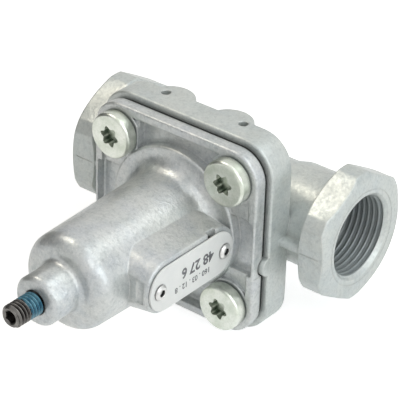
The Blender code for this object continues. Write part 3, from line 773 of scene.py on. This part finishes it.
def makeAdjuster():
    spot = (0, 0, axisZ)
    chamfer, slack = adjuster["chamfer"], adjuster["endSlack"]
    low, high = adjusterLow.y, adjusterHigh.y
    item = threadedRod("adjusterScrew", adjuster["root"], adjuster["major"], adjuster["pitch"], low - chamfer,
                       high + chamfer, spot, "Y", 72)
    small, large = adjuster["root"] - slack, adjuster["major"] + slack
    shape = [(0, high), (small, high), (large, high - chamfer), (large, low + chamfer), (small, low),
             (0, low)]
    combine(item, lathe("screw ends", shape, spot, steps=71), "INTERSECT")
    depth = adjuster["socketDepth"]
    middle = (0, low + (depth - past) / 2, axisZ)
    cut(item, hexBar("hex socket", adjuster["socketFlats"], depth + past, (pi / 2, 0, 0), middle))
    outer, inner = adjuster["mouth"]
    above, below = adjuster["mouthLevels"]
    mouth = [(0, low - above), (outer, low - above), (inner, low + below), (0, low + below)]
    return cut(item, lathe("socket mouth", mouth, spot, steps=47))


# The dried thread lock: a skin over the threads beside the nose.
def makePatch():
    skin = adjuster["skin"]
    return threadedRod("threadPatch", adjuster["root"] + skin * 3, adjuster["major"] + skin / 2,
                       adjuster["pitch"], patchLow.y, patchHigh.y + near, (0, 0, axisZ), "Y", 72)


plate = {
    "edge": 0.15,
}


def makePlate():
    plateRound = (plateHigh.z - plateLow.z) / 2
    outline = arc(plateHigh.y - plateRound, plateZ, plateRound, -90, 90, 32)
    outline += arc(plateLow.y + plateRound, plateZ, plateRound, 90, 270, 32)
    item = drawLine("namePlate", [(plateLow.x, y, z) for y, z in outline], closed=True)
    pullOut((plateHigh.x - plateLow.x, 0, 0))
    closeUp(item)
    return bevelEdges(item, lambda middle, way: middle.x > plateHigh.x - plate["edge"] / 3, plate["edge"], 3)


numbers = {
    "lines": (("48 27 6", 3.9, -37.6, 1.2, 0.09), ("160 . 03 . 12 . 8", 2.1, -39.4, -2.4, 0.02)),
    "thickness": 0.02,
}


# Plain numbers on the plate, upside down as the plate sits.
def makeNumbers():
    lines = []
    for words, size, y, up, weight in numbers["lines"]:
        deselect()
        bpy.ops.object.text_add()
        item = bpy.context.object
        item.data.body = words
        item.data.size = size * unit
        item.data.align_x = "CENTER"
        item.data.align_y = "CENTER"
        item.data.offset = weight * unit
        item.data.extrude = numbers["thickness"] * unit
        item.data.resolution_u = 4
        turn = Matrix(((0, -1, 0), (0, 0, -1), (1, 0, 0))).transposed().to_4x4()
        spot = point((plateHigh.x + numbers["thickness"] / 2, y, plateZ + up))
        item.matrix_world = Matrix.Translation(spot) @ turn
        bpy.ops.object.convert(target="MESH")
        settle()
        lines.append(item)
    for item in lines:
        item.select_set(True)
    bpy.context.view_layer.objects.active = lines[0]
    bpy.ops.object.join()
    item = startNew("plateNumbers")
    mode("EDIT")
    return closeUp(item, weld / 2)


# The head's profile runs from the hole over the crown, as radius and depth under its top.
rivet = {
    "hole": (0.84, 2.8),
    "crown": ((0.88, 0.1), (0.98, 0.02), (1.12, 0.0), (1.35, 0.04), (1.6, 0.14), (1.82, 0.32), (1.97, 0.5)),
    "radius": 2.0,
    "shank": 1.3,
    "gap": 0.02,
}


def makeRivet(number, y):
    low, high = measure("nameplate_rivet_%d" % number)
    face, top = plateHigh.x + rivet["gap"], high.x
    hole, depth = rivet["hole"]
    profile = [(0, top - depth), (hole, top - depth)]
    profile += [(radius, top - drop) for radius, drop in rivet["crown"]]
    profile += [(rivet["radius"], face), (rivet["shank"], face), (rivet["shank"], low.x), (0, low.x)]
    return lathe("plateRivet%d" % number, profile, (0, y, plateZ), "X", 48)


# Shading
grey = (0.5, 0.5, 0.5, 1)

# Masks hold scale, detail and the two levels of noise that are spread from 0 to 1.
cast = {
    "clouds": (70, 3, 0.34, 0.66),
    "hues": (110, 2, 0.42, 0.68),
    "blotch": (300, 5, 0.36, 0.64),
    "specks": (1100, 2, 0.36, 0.68),
    "grain": (2300, 3, 0.3, 0.7),
    "streaks": (500, 3, 0.4, 0.7),
    "pull": (1, 0.12, 1),
    "hueShare": 0.6,
    "blotchShare": 0.6,
    "fleckShare": 0.9,
    "speckShare": 0.34,
    "streakShare": 0.18,
    "edgeTurn": (0.995, 0.88),
    "hollowReach": 0.0012,
    "hollowPower": 1.6,
    "blotchGloss": 0.12,
    "speckGloss": 0.1,
    "leastGloss": 0.29,
    "height": 0.0001,
}

worked = {
    "stains": (320, 4, 0.4, 0.66),
    "scratches": (2600, 2, 0.45, 0.75),
    "stainShare": 0.7,
    "ringScale": 900.0,
    "ringWaver": 1.2,
    "hollowGain": 1.7,
    "hollowPower": 1.4,
    "stainGloss": 0.12,
    "leastGloss": 0.285,
    "ringHeight": 0.00002,
    "scratchHeight": 0.00003,
}

moulded = {
    "clouds": (400, 4, 0.38, 0.66),
    "grain": (2400, 3, 0.3, 0.7),
    "grainGloss": 0.2,
    "height": 0.00006,
}


def newMaterial(name):
    made = bpy.data.materials.new(name)
    made.use_nodes = True
    return made, made.node_tree, made.node_tree.nodes["Principled BSDF"]


def addNode(tree, kind, **values):
    made = tree.nodes.new(kind)
    for key, value in values.items():
        if hasattr(made, key):
            setattr(made, key, value)
        else:
            made.inputs[key].default_value = value
    return made


# A shader group that puts out color, roughness and normal. Its inputs take their kind from their values.
def newGroup(name, **values):
    tree = bpy.data.node_groups.new(name, "ShaderNodeTree")
    for label, value in values.items():
        count = len(value) if isinstance(value, tuple) else 1
        kind = {1: "NodeSocketFloat", 3: "NodeSocketVector", 4: "NodeSocketColor"}[count]
        tree.interface.new_socket(name=label, in_out="INPUT", socket_type=kind).default_value = value
    for label, kind in (("Color", "Color"), ("Roughness", "Float"), ("Normal", "Vector")):
        tree.interface.new_socket(name=label, in_out="OUTPUT", socket_type="NodeSocket" + kind)
    return tree, tree.nodes.new("NodeGroupInput").outputs, tree.nodes.new("NodeGroupOutput").inputs


# Feeds a socket from another socket, or gives it a plain value.
def link(tree, source, target):
    if hasattr(source, "node"):
        tree.links.new(source, target)
    else:
        target.default_value = source


def ownPlace(tree):
    return addNode(tree, "ShaderNodeTexCoord").outputs["Object"]


def separate(tree, place):
    parts = addNode(tree, "ShaderNodeSeparateXYZ")
    link(tree, place, parts.inputs[0])
    return parts.outputs


def calc(tree, operation, first, second):
    item = addNode(tree, "ShaderNodeMath", operation=operation)
    link(tree, first, item.inputs[0])
    link(tree, second, item.inputs[1])
    return item.outputs["Value"]


def times(tree, first, second):
    return calc(tree, "MULTIPLY", first, second)


# A mask's distance from its middle, times an amount.
def swing(tree, mask, amount):
    return times(tree, calc(tree, "SUBTRACT", mask, 0.5), amount)


def mixColor(tree, amount, first, second):
    mix = addNode(tree, "ShaderNodeMix", data_type="RGBA")
    for source, slot in ((amount, 0), (first, 6), (second, 7)):
        link(tree, source, mix.inputs[slot])
    return mix.outputs[2]


# A value spread from 0 to 1 between two levels.
def spread(tree, source, low, high):
    item = addNode(tree, "ShaderNodeMapRange")
    item.inputs["From Min"].default_value = low
    item.inputs["From Max"].default_value = high
    link(tree, source, item.inputs["Value"])
    return item.outputs["Result"]


# Noise on the object's own coordinates.
def noiseMask(tree, place, scale, detail, low, high):
    noise = addNode(tree, "ShaderNodeTexNoise", Scale=scale, Detail=detail, Roughness=0.6)
    link(tree, place, noise.inputs["Vector"])
    return spread(tree, noise.outputs["Fac"], low, high)


# How enclosed a place is, from 0 in the open.
def enclosed(tree, reach):
    shade = addNode(tree, "ShaderNodeAmbientOcclusion", samples=6)
    link(tree, reach, shade.inputs["Distance"])
    return calc(tree, "SUBTRACT", 1.0, shade.outputs["AO"])


def roundedNormal(tree, radius):
    rounded = addNode(tree, "ShaderNodeBevel", samples=6)
    link(tree, radius, rounded.inputs["Radius"])
    return rounded.outputs["Normal"]


def bumped(tree, strength, height, distance, normal=None):
    bump = addNode(tree, "ShaderNodeBump", Distance=distance)
    link(tree, strength, bump.inputs["Strength"])
    link(tree, height, bump.inputs["Height"])
    if normal:
        link(tree, normal, bump.inputs["Normal"])
    return bump.outputs["Normal"]


# As-cast metal: clouds of three tones, dark specks and bright flecks, flow streaks along the mould's
# pull, pale worn edges, painted shade in the hollows, uneven gloss and fine grain, with corners rounded by
# light.
# The gloss has a least value, because a smoother skin gives the denoised picture dark dots.
def castGroup():
    # One dark colour serves both the real dark specks and the painted shade in the hollows.
    tree, given, out = newGroup(
        "cast metal", Base=grey, Mottle=grey, Tint=grey, Worn=grey, Dirt=grey, Gloss=0.4, Grain=0.3,
        Speckle=0.5, Wear=0.5, Hollow=1.0, Rounding=0.0005)
    place = ownPlace(tree)
    clouds, hues, blotch, specks, grain = (
        noiseMask(tree, place, *cast[key]) for key in ("clouds", "hues", "blotch", "specks", "grain"))
    stretch = addNode(tree, "ShaderNodeMapping", Scale=cast["pull"])
    link(tree, place, stretch.inputs["Vector"])
    streaks = noiseMask(tree, stretch.outputs["Vector"], *cast["streaks"])
    normal = roundedNormal(tree, given["Rounding"])
    turned = addNode(tree, "ShaderNodeVectorMath", operation="DOT_PRODUCT")
    link(tree, normal, turned.inputs[0])
    link(tree, addNode(tree, "ShaderNodeNewGeometry").outputs["Normal"], turned.inputs[1])
    edge = spread(tree, turned.outputs["Value"], *cast["edgeTurn"])
    # Painted shade: places that ambient occlusion finds enclosed are darkened towards the dark colour.
    hollowShade = calc(tree, "POWER", enclosed(tree, cast["hollowReach"]), cast["hollowPower"])
    fleck, dark = calc(tree, "POWER", grain, 3.0), calc(tree, "POWER", specks, 2.0)

    def share(mask, key):
        return times(tree, mask, times(tree, given["Speckle"], cast[key]))

    layers = (
        (times(tree, hues, cast["hueShare"]), "Tint"),
        (share(blotch, "blotchShare"), "Worn"),
        (share(fleck, "fleckShare"), "Worn"),
        (share(dark, "speckShare"), "Dirt"),
        (share(streaks, "streakShare"), "Worn"),
        (times(tree, edge, times(tree, given["Wear"], blotch)), "Worn"),
        (times(tree, hollowShade, given["Hollow"]), "Dirt"),
    )
    tone = mixColor(tree, clouds, given["Base"], given["Mottle"])
    for amount, key in layers:
        tone = mixColor(tree, amount, tone, given[key])
    link(tree, tone, out["Color"])
    rough = calc(tree, "ADD", given["Gloss"], swing(tree, blotch, cast["blotchGloss"]))
    rough = calc(tree, "ADD", rough, swing(tree, specks, cast["speckGloss"]))
    link(tree, calc(tree, "MAXIMUM", rough, cast["leastGloss"]), out["Roughness"])
    height = calc(tree, "ADD", times(tree, specks, 0.6), times(tree, grain, 0.4))
    link(tree, bumped(tree, given["Grain"], height, cast["height"], normal), out["Normal"])
    return tree


# Worked metal: rings left by turning or drawing, fine scratches, faint stains and painted shade in the
# hollows.
def workedGroup():
    tree, given, out = newGroup(
        "worked metal", Base=grey, Stain=grey, Dirt=grey, Gloss=0.3, Centre=(0, 0, 0), Rings=0.2,
        Scratches=0.2, Hollow=0.002, Rounding=0.0002)
    place = ownPlace(tree)
    shifted = addNode(tree, "ShaderNodeVectorMath", operation="SUBTRACT")
    link(tree, place, shifted.inputs[0])
    link(tree, given["Centre"], shifted.inputs[1])
    rings = addNode(tree, "ShaderNodeTexWave", wave_type="RINGS", rings_direction="Y",
                    Scale=worked["ringScale"], Distortion=worked["ringWaver"], Detail=2.0)
    rings.inputs["Detail Scale"].default_value = 3.0
    link(tree, shifted.outputs["Vector"], rings.inputs["Vector"])
    stains = noiseMask(tree, place, *worked["stains"])
    scratches = noiseMask(tree, place, *worked["scratches"])
    tone = mixColor(tree, times(tree, stains, worked["stainShare"]), given["Base"], given["Stain"])
    tone = mixColor(tree, times(tree, scratches, given["Scratches"]), tone, given["Stain"])
    # Painted shade: enclosed places, found by ambient occlusion, are darkened towards the dark colour.
    hollowShade = times(tree, enclosed(tree, given["Hollow"]), worked["hollowGain"])
    hollowShade = calc(tree, "POWER", calc(tree, "MINIMUM", hollowShade, 1.0), worked["hollowPower"])
    link(tree, mixColor(tree, hollowShade, tone, given["Dirt"]), out["Color"])
    rough = calc(tree, "ADD", given["Gloss"], swing(tree, stains, worked["stainGloss"]))
    link(tree, calc(tree, "MAXIMUM", rough, worked["leastGloss"]), out["Roughness"])
    normal = roundedNormal(tree, given["Rounding"])
    normal = bumped(tree, given["Rings"], rings.outputs["Fac"], worked["ringHeight"], normal)
    normal = bumped(tree, given["Scratches"], scratches, worked["scratchHeight"], normal)
    link(tree, normal, out["Normal"])
    return tree


# Rubber, plastic and dried lacquer: clouds of two tones, a bloom of dust and a fine moulded grain.
def mouldedGroup():
    tree, given, out = newGroup("moulded skin", Base=grey, Bloom=grey, Gloss=0.6, Grain=0.3)
    place = ownPlace(tree)
    clouds = noiseMask(tree, place, *moulded["clouds"])
    grain = noiseMask(tree, place, *moulded["grain"])
    link(tree, mixColor(tree, clouds, given["Base"], given["Bloom"]), out["Color"])
    rough = calc(tree, "ADD", given["Gloss"], swing(tree, grain, moulded["grainGloss"]))
    link(tree, rough, out["Roughness"])
    link(tree, bumped(tree, given["Grain"], grain, moulded["height"]), out["Normal"])
    return tree


def useGroup(tree, group, values):
    item = addNode(tree, "ShaderNodeGroup")
    item.node_tree = group
    for key, value in values.items():
        item.inputs[key].default_value = value
    return item


def look(name, group, metallic, values):
    made, tree, shader = newMaterial(name)
    item = useGroup(tree, group, values)
    shader.inputs["Metallic"].default_value = metallic
    for source, target in (("Color", "Base Color"), ("Roughness", "Roughness"), ("Normal", "Normal")):
        link(tree, item.outputs[source], shader.inputs[target])
    return made


patch = {
    "base": (0.03, 0.19, 0.31, 1),
    "bloom": (0.20, 0.48, 0.61, 1),
    "groove": (0.004, 0.02, 0.035, 1),
    "ragged": (700, 3, 0.3, 0.7),
    "waver": 0.9,
    "border": (0.55, 0.35),
    "grooveReach": 0.0011,
    "groovePower": 1.1,
    "steelMetallic": 0.85,
    "blueLength": 4.0,
}


# The thread lock: blue beside the nose, with painted shade in its grooves, worn down to the steel towards the
# screw's end.
def patchLook():
    made = look("dried thread lock", mouldedNodes, 0.0, {
        "Base": patch["base"], "Bloom": patch["bloom"], "Gloss": 0.32, "Grain": 0.9})
    tree = made.node_tree
    shader = tree.nodes["Principled BSDF"]
    blue = tree.nodes["Group"]
    steel = useGroup(tree, workedNodes, darkValues)
    place = ownPlace(tree)
    ragged = noiseMask(tree, place, *patch["ragged"])
    spot = calc(tree, "ADD", separate(tree, place)["Y"], times(tree, ragged, patch["waver"] * unit))
    border = bonnetLow.y - patch["blueLength"]
    bare = spread(tree, spot, *((border + level) * unit for level in patch["border"]))
    # Painted shade: the grooves between the threads, found by ambient occlusion, are darkened nearly to
    # black.
    groove = calc(tree, "POWER", enclosed(tree, patch["grooveReach"]), patch["groovePower"])
    lacquer = mixColor(tree, groove, blue.outputs["Color"], patch["groove"])
    link(tree, mixColor(tree, bare, lacquer, steel.outputs["Color"]), shader.inputs["Base Color"])
    gloss = calc(tree, "ADD", times(tree, blue.outputs["Roughness"], calc(tree, "SUBTRACT", 1.0, bare)),
                 times(tree, steel.outputs["Roughness"], bare))
    link(tree, gloss, shader.inputs["Roughness"])
    link(tree, times(tree, bare, patch["steelMetallic"]), shader.inputs["Metallic"])
    return made


castNodes = castGroup()
workedNodes = workedGroup()
mouldedNodes = mouldedGroup()
axisPoint = (0, 0, axisZ * unit)
# In every look the dark colour, spread by Hollow, is painted shade in the part's hollows, holes and thread
# grooves; on the castings it also colours the dark specks.
bodyLook = look("cast body", castNodes, 0.34, {
    "Base": (0.555, 0.60, 0.585, 1), "Mottle": (0.61, 0.64, 0.615, 1), "Tint": (0.545, 0.60, 0.615, 1),
    "Worn": (0.82, 0.83, 0.79, 1), "Dirt": (0.12, 0.14, 0.145, 1),
    "Gloss": 0.39, "Grain": 0.32, "Speckle": 0.5, "Wear": 0.8, "Hollow": 0.7, "Rounding": 0.0006})
bonnetLook = look("cast bonnet", castNodes, 0.4, {
    "Base": (0.505, 0.55, 0.555, 1), "Mottle": (0.59, 0.61, 0.595, 1), "Tint": (0.515, 0.55, 0.60, 1),
    "Worn": (0.84, 0.835, 0.81, 1), "Dirt": (0.11, 0.13, 0.14, 1),
    "Gloss": 0.34, "Grain": 0.42, "Speckle": 0.65, "Wear": 0.8, "Hollow": 0.6, "Rounding": 0.0006})
plateLook = look("brushed plate", workedNodes, 0.1, {
    "Base": (0.95, 0.95, 0.925, 1), "Stain": (0.89, 0.90, 0.88, 1), "Dirt": (0.25, 0.25, 0.25, 1),
    "Gloss": 0.42, "Rings": 0.0, "Scratches": 0.35, "Hollow": 0.0004, "Rounding": 0.0001})
rivetLook = look("rivet metal", workedNodes, 0.6, {
    "Base": (0.78, 0.77, 0.75, 1), "Stain": (0.62, 0.62, 0.61, 1), "Dirt": (0.004, 0.004, 0.004, 1),
    "Gloss": 0.3, "Rings": 0.0, "Scratches": 0.2, "Hollow": 0.0022, "Rounding": 0.0001})
darkValues = {
    "Base": (0.115, 0.11, 0.105, 1), "Stain": (0.26, 0.25, 0.235, 1), "Dirt": (0.002, 0.002, 0.002, 1),
    "Gloss": 0.24, "Centre": axisPoint, "Rings": 0.0, "Scratches": 0.4, "Hollow": 0.0011, "Rounding": 0.00008}
darkLook = look("blackened steel", workedNodes, 0.85, darkValues)
springLook = look("drawn spring wire", workedNodes, 0.9, {
    "Base": (0.33, 0.33, 0.34, 1), "Stain": (0.22, 0.21, 0.20, 1), "Dirt": (0.04, 0.04, 0.04, 1),
    "Gloss": 0.34, "Centre": axisPoint, "Rings": 0.1, "Scratches": 0.4, "Hollow": 0.001, "Rounding": 0.0002})
pistonLook = look("turned piston", workedNodes, 0.85, {
    "Base": (0.62, 0.64, 0.66, 1), "Stain": (0.50, 0.52, 0.54, 1), "Dirt": (0.16, 0.16, 0.17, 1),
    "Gloss": 0.3, "Centre": axisPoint, "Rings": 0.6, "Scratches": 0.2, "Hollow": 0.002, "Rounding": 0.0002})
seatLook = look("zinc plated spring seat", workedNodes, 0.85, {
    "Base": (0.56, 0.57, 0.53, 1), "Stain": (0.44, 0.45, 0.38, 1), "Dirt": (0.14, 0.14, 0.12, 1),
    "Gloss": 0.32, "Centre": axisPoint, "Rings": 0.5, "Scratches": 0.3, "Hollow": 0.002, "Rounding": 0.0002})
brassLook = look("pressed brass", workedNodes, 0.9, {
    "Base": (0.72, 0.55, 0.25, 1), "Stain": (0.55, 0.40, 0.18, 1), "Dirt": (0.18, 0.12, 0.05, 1),
    "Gloss": 0.28, "Rings": 0.1, "Scratches": 0.3, "Hollow": 0.001, "Rounding": 0.0001})
blueLook = patchLook()
rubberLook = look("black rubber", mouldedNodes, 0.0, {
    "Base": (0.006, 0.007, 0.007, 1), "Bloom": (0.016, 0.018, 0.018, 1), "Gloss": 0.75, "Grain": 0.4})
plasticLook = look("black guide plastic", mouldedNodes, 0.0, {
    "Base": (0.03, 0.03, 0.035, 1), "Bloom": (0.07, 0.07, 0.075, 1), "Gloss": 0.42, "Grain": 0.2})
inkLook = look("printing ink", mouldedNodes, 0.0, {
    "Base": (0.10, 0.10, 0.105, 1), "Bloom": (0.20, 0.20, 0.21, 1), "Gloss": 0.5, "Grain": 0.3})


# Painted shade: deep inside the ports, past their plain mouths, the threads and bore are darkened.
def paintPortShade(made):
    tree = made.node_tree
    shader = tree.nodes["Principled BSDF"]
    skin = tree.nodes["Group"].outputs["Color"]
    place = ownPlace(tree)
    flat = addNode(tree, "ShaderNodeVectorMath", operation="MULTIPLY")
    flat.inputs[1].default_value = (0, 1, 1)
    link(tree, place, flat.inputs[0])
    reach = addNode(tree, "ShaderNodeVectorMath", operation="LENGTH")
    link(tree, flat.outputs["Vector"], reach.inputs[0])
    inside = calc(tree, "LESS_THAN", reach.outputs["Value"], (port["major"] + 3 * near) * unit)
    out = calc(tree, "ABSOLUTE", separate(tree, place)["X"], 0.0)
    deep = calc(tree, "LESS_THAN", out, (bodyHigh.x - port["plainMouth"]) * unit)
    amount = times(tree, times(tree, inside, deep), port["darkness"])
    link(tree, mixColor(tree, amount, skin, port["boreShadeColor"]), shader.inputs["Base Color"])


paintPortShade(bodyLook)


# The dark green colour is painted shade in each screw's socket and between its threads.
def screwLook(number, x, z):
    return look("bright zinc %d" % number, workedNodes, 0.8, {
        "Base": (0.74, 0.76, 0.695, 1), "Stain": (0.50, 0.55, 0.455, 1), "Dirt": (0.10, 0.135, 0.095, 1),
        "Gloss": 0.30, "Centre": (x * unit, 0, z * unit), "Rings": 0.35, "Scratches": 0.5, "Hollow": 0.0016,
        "Rounding": 0.0002})


def dress(item, paint, sharp):
    item.data.materials.clear()
    item.data.materials.append(paint)
    only(item)
    bpy.ops.object.shade_smooth_by_angle(angle=radians(sharp))


def finish(item, paint, bodyName, slotName, *replaced):
    dress(item, paint, 30)
    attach(item, bodyName)
    if replaced:
        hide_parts(*replaced)


def repaint(node, paint):
    for slot in nodes[node].material_slots:
        slot.material = paint


# Springs: each is a copy of its CAD mesh.
springs = {
    "adjusting_spring": ("adjustingSpring", "spring_seat", -23.0, -55.0),
    "check_valve_spring": ("checkValveSpring", "check_plate", -13.0, -9.7),
}


def makeSpring(node):
    name, mover, still, moved = springs[node]
    mesh = nodes[node].data.copy()
    item = bpy.data.objects.new(name, mesh)
    bpy.context.scene.collection.objects.link(item)
    item.matrix_world = nodes[node].matrix_world.copy()
    only(item)
    settle()
    mode("EDIT")
    selectMesh()
    bpy.ops.mesh.remove_doubles(threshold=weld)
    mode("OBJECT")
    item.data.name = name
    dress(item, springLook, 60)
    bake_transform(item)
    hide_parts(node)


finish(makeBody(), bodyLook, "housing", "cast_body", "body_casting")
print("body shell made")
finish(makeBonnet(), bonnetLook, "housing", "cast_bonnet", "bonnet_casting")
print("bonnet shell made")
firstScrew = makeFlangeScrew()
for number, (x, z) in enumerate(screwPlaces(), 1):
    item = copyOf(firstScrew, "flangeScrew%d" % number, (x, 0, z), head["turns"][number - 1])
    finish(item, screwLook(number, x, z), "housing", "screw_zinc", "flange_screw_%d" % number)
bpy.data.objects.remove(firstScrew, do_unlink=True)
finish(makeAdjuster(), darkLook, "adjuster", "dark_steel", "adjusting_screw")
finish(makePatch(), blueLook, "adjuster", "patch_blue", "thread_lock_patch")
print("screws made")
finish(makePlate(), plateLook, "housing", "plate_metal", "nameplate")
for number, y in enumerate(rivetPlaces(), 1):
    finish(makeRivet(number, y), rivetLook, "housing", "rivet_metal", "nameplate_rivet_%d" % number)
finish(makeNumbers(), inkLook, "housing", "plate_metal")
print("plate made")


for node in springs:
    makeSpring(node)
print("springs made")
inner = {
    "diaphragm": rubberLook,
    "piston": pistonLook,
    "piston_guide_ring": plasticLook,
    "spring_plate": seatLook,
    "check_valve_plate": rubberLook,
    "check_valve_cage": brassLook,
}
for node, paint in inner.items():
    repaint(node, paint)


# Camera, floor and light
camera = {
    "azimuth": 37.827,
    "elevation": 30.949,
    "roll": -1.789,
    "right": -8.18,
    "up": -4.492,
    "distance": 554.597,
    "lens": 197.245,
}


def placeCamera():
    azimuth, elevation, roll = (radians(camera[key]) for key in ("azimuth", "elevation", "roll"))
    right = Vector((cos(azimuth), sin(azimuth), 0))
    back = Vector((sin(azimuth) * cos(elevation), -cos(azimuth) * cos(elevation), sin(elevation)))
    up = back.cross(right)
    across = right * cos(roll) - up * sin(roll)
    upright = right * sin(roll) + up * cos(roll)
    spot = (across * camera["right"] + upright * camera["up"] + back * camera["distance"]) * unit
    lens = bpy.data.cameras.new("view")
    lens.sensor_width = 36
    lens.lens = camera["lens"]
    lens.clip_start = 0.02
    item = bpy.data.objects.new("view", lens)
    bpy.context.scene.collection.objects.link(item)
    turn = Matrix((across, upright, back)).transposed().to_4x4()
    item.matrix_world = Matrix.Translation(spot) @ turn
    bpy.context.scene.camera = item


# One for camera, glossy and transmission rays, nothing for the rest.
def seenRay(tree):
    path = addNode(tree, "ShaderNodeLightPath").outputs
    first = calc(tree, "MAXIMUM", path["Is Camera Ray"], path["Is Glossy Ray"])
    return calc(tree, "MAXIMUM", first, path["Is Transmission Ray"])


stage = {
    "floorColor": (0.86, 0.86, 0.86, 1),
    "floorGlow": 0.72,
    "worldColor": (0.85, 0.92, 0.95, 1),
    "worldLight": 0.06,
    "card": ((-305, -380, -20), (-300, 160, 330)),
    "cardColor": (0.06, 0.065, 0.07, 1),
    "lampDistance": 0.9,
}

# Each lamp has its direction from the object, size, power and color.
lamps = {
    "top light": ((-0.46, -0.14, 0.88), 0.31, 1.8, (1.0, 0.91, 0.76)),
    "back light": ((0.366, 0.28, 0.89), 0.5, 1.7, (0.95, 1.0, 1.0)),
    "side light": ((0.93, 0.06, 0.36), 0.6, 1.9, (0.92, 0.98, 1.0)),
    "front light": ((0.62, -0.44, 0.65), 0.7, 2.5, (0.96, 0.98, 1.0)),
}


# The floor glows nearly white for the camera and for metal, and what light falls on it adds the rest,
# so that the object's shadow stays on it.
def placeFloor():
    deselect()
    bpy.ops.mesh.primitive_plane_add(size=6, location=point((0, 0, bodyLow.z)))
    settle()
    floor = startNew("floor")
    made, tree, shader = newMaterial("white floor")
    shader.inputs["Base Color"].default_value = stage["floorColor"]
    shader.inputs["Roughness"].default_value = 0.9
    shader.inputs["Specular IOR Level"].default_value = 0.1
    shader.inputs["Emission Color"].default_value = (1, 1, 1, 1)
    link(tree, times(tree, seenRay(tree), stage["floorGlow"]), shader.inputs["Emission Strength"])
    floor.data.materials.append(made)


def softbox(name, toward, size, power, color):
    light = bpy.data.lights.new(name, "AREA")
    light.size = size
    light.energy = power
    light.color = color
    item = bpy.data.objects.new(name, light)
    bpy.context.scene.collection.objects.link(item)
    way = Vector(toward).normalized()
    item.location = way * stage["lampDistance"]
    item.rotation_euler = way.to_track_quat("Z", "Y").to_euler()


# A dark card beside the object, unseen by the camera, gives the metal something dark to mirror.
def darkCard():
    low, high = stage["card"]
    item = block("dark card", low, high)
    made, tree, shader = newMaterial("dark card")
    shader.inputs["Base Color"].default_value = stage["cardColor"]
    shader.inputs["Roughness"].default_value = 0.8
    item.data.materials.append(made)
    item.visible_camera = False


def placeLight():
    world = bpy.data.worlds.new("studio")
    bpy.context.scene.world = world
    world.use_nodes = True
    tree = world.node_tree
    back = tree.nodes["Background"]
    back.inputs["Color"].default_value = stage["worldColor"]
    back.inputs["Strength"].default_value = stage["worldLight"]
    white = addNode(tree, "ShaderNodeBackground", Strength=1.0)
    white.inputs["Color"].default_value = (1, 1, 1, 1)
    mix = addNode(tree, "ShaderNodeMixShader")
    link(tree, seenRay(tree), mix.inputs[0])
    link(tree, back.outputs[0], mix.inputs[1])
    link(tree, white.outputs[0], mix.inputs[2])
    link(tree, mix.outputs[0], tree.nodes["World Output"].inputs["Surface"])
    for name, values in lamps.items():
        softbox(name, *values)
    darkCard()


placeCamera()
placeFloor()
placeLight()
print("camera, floor and light placed")
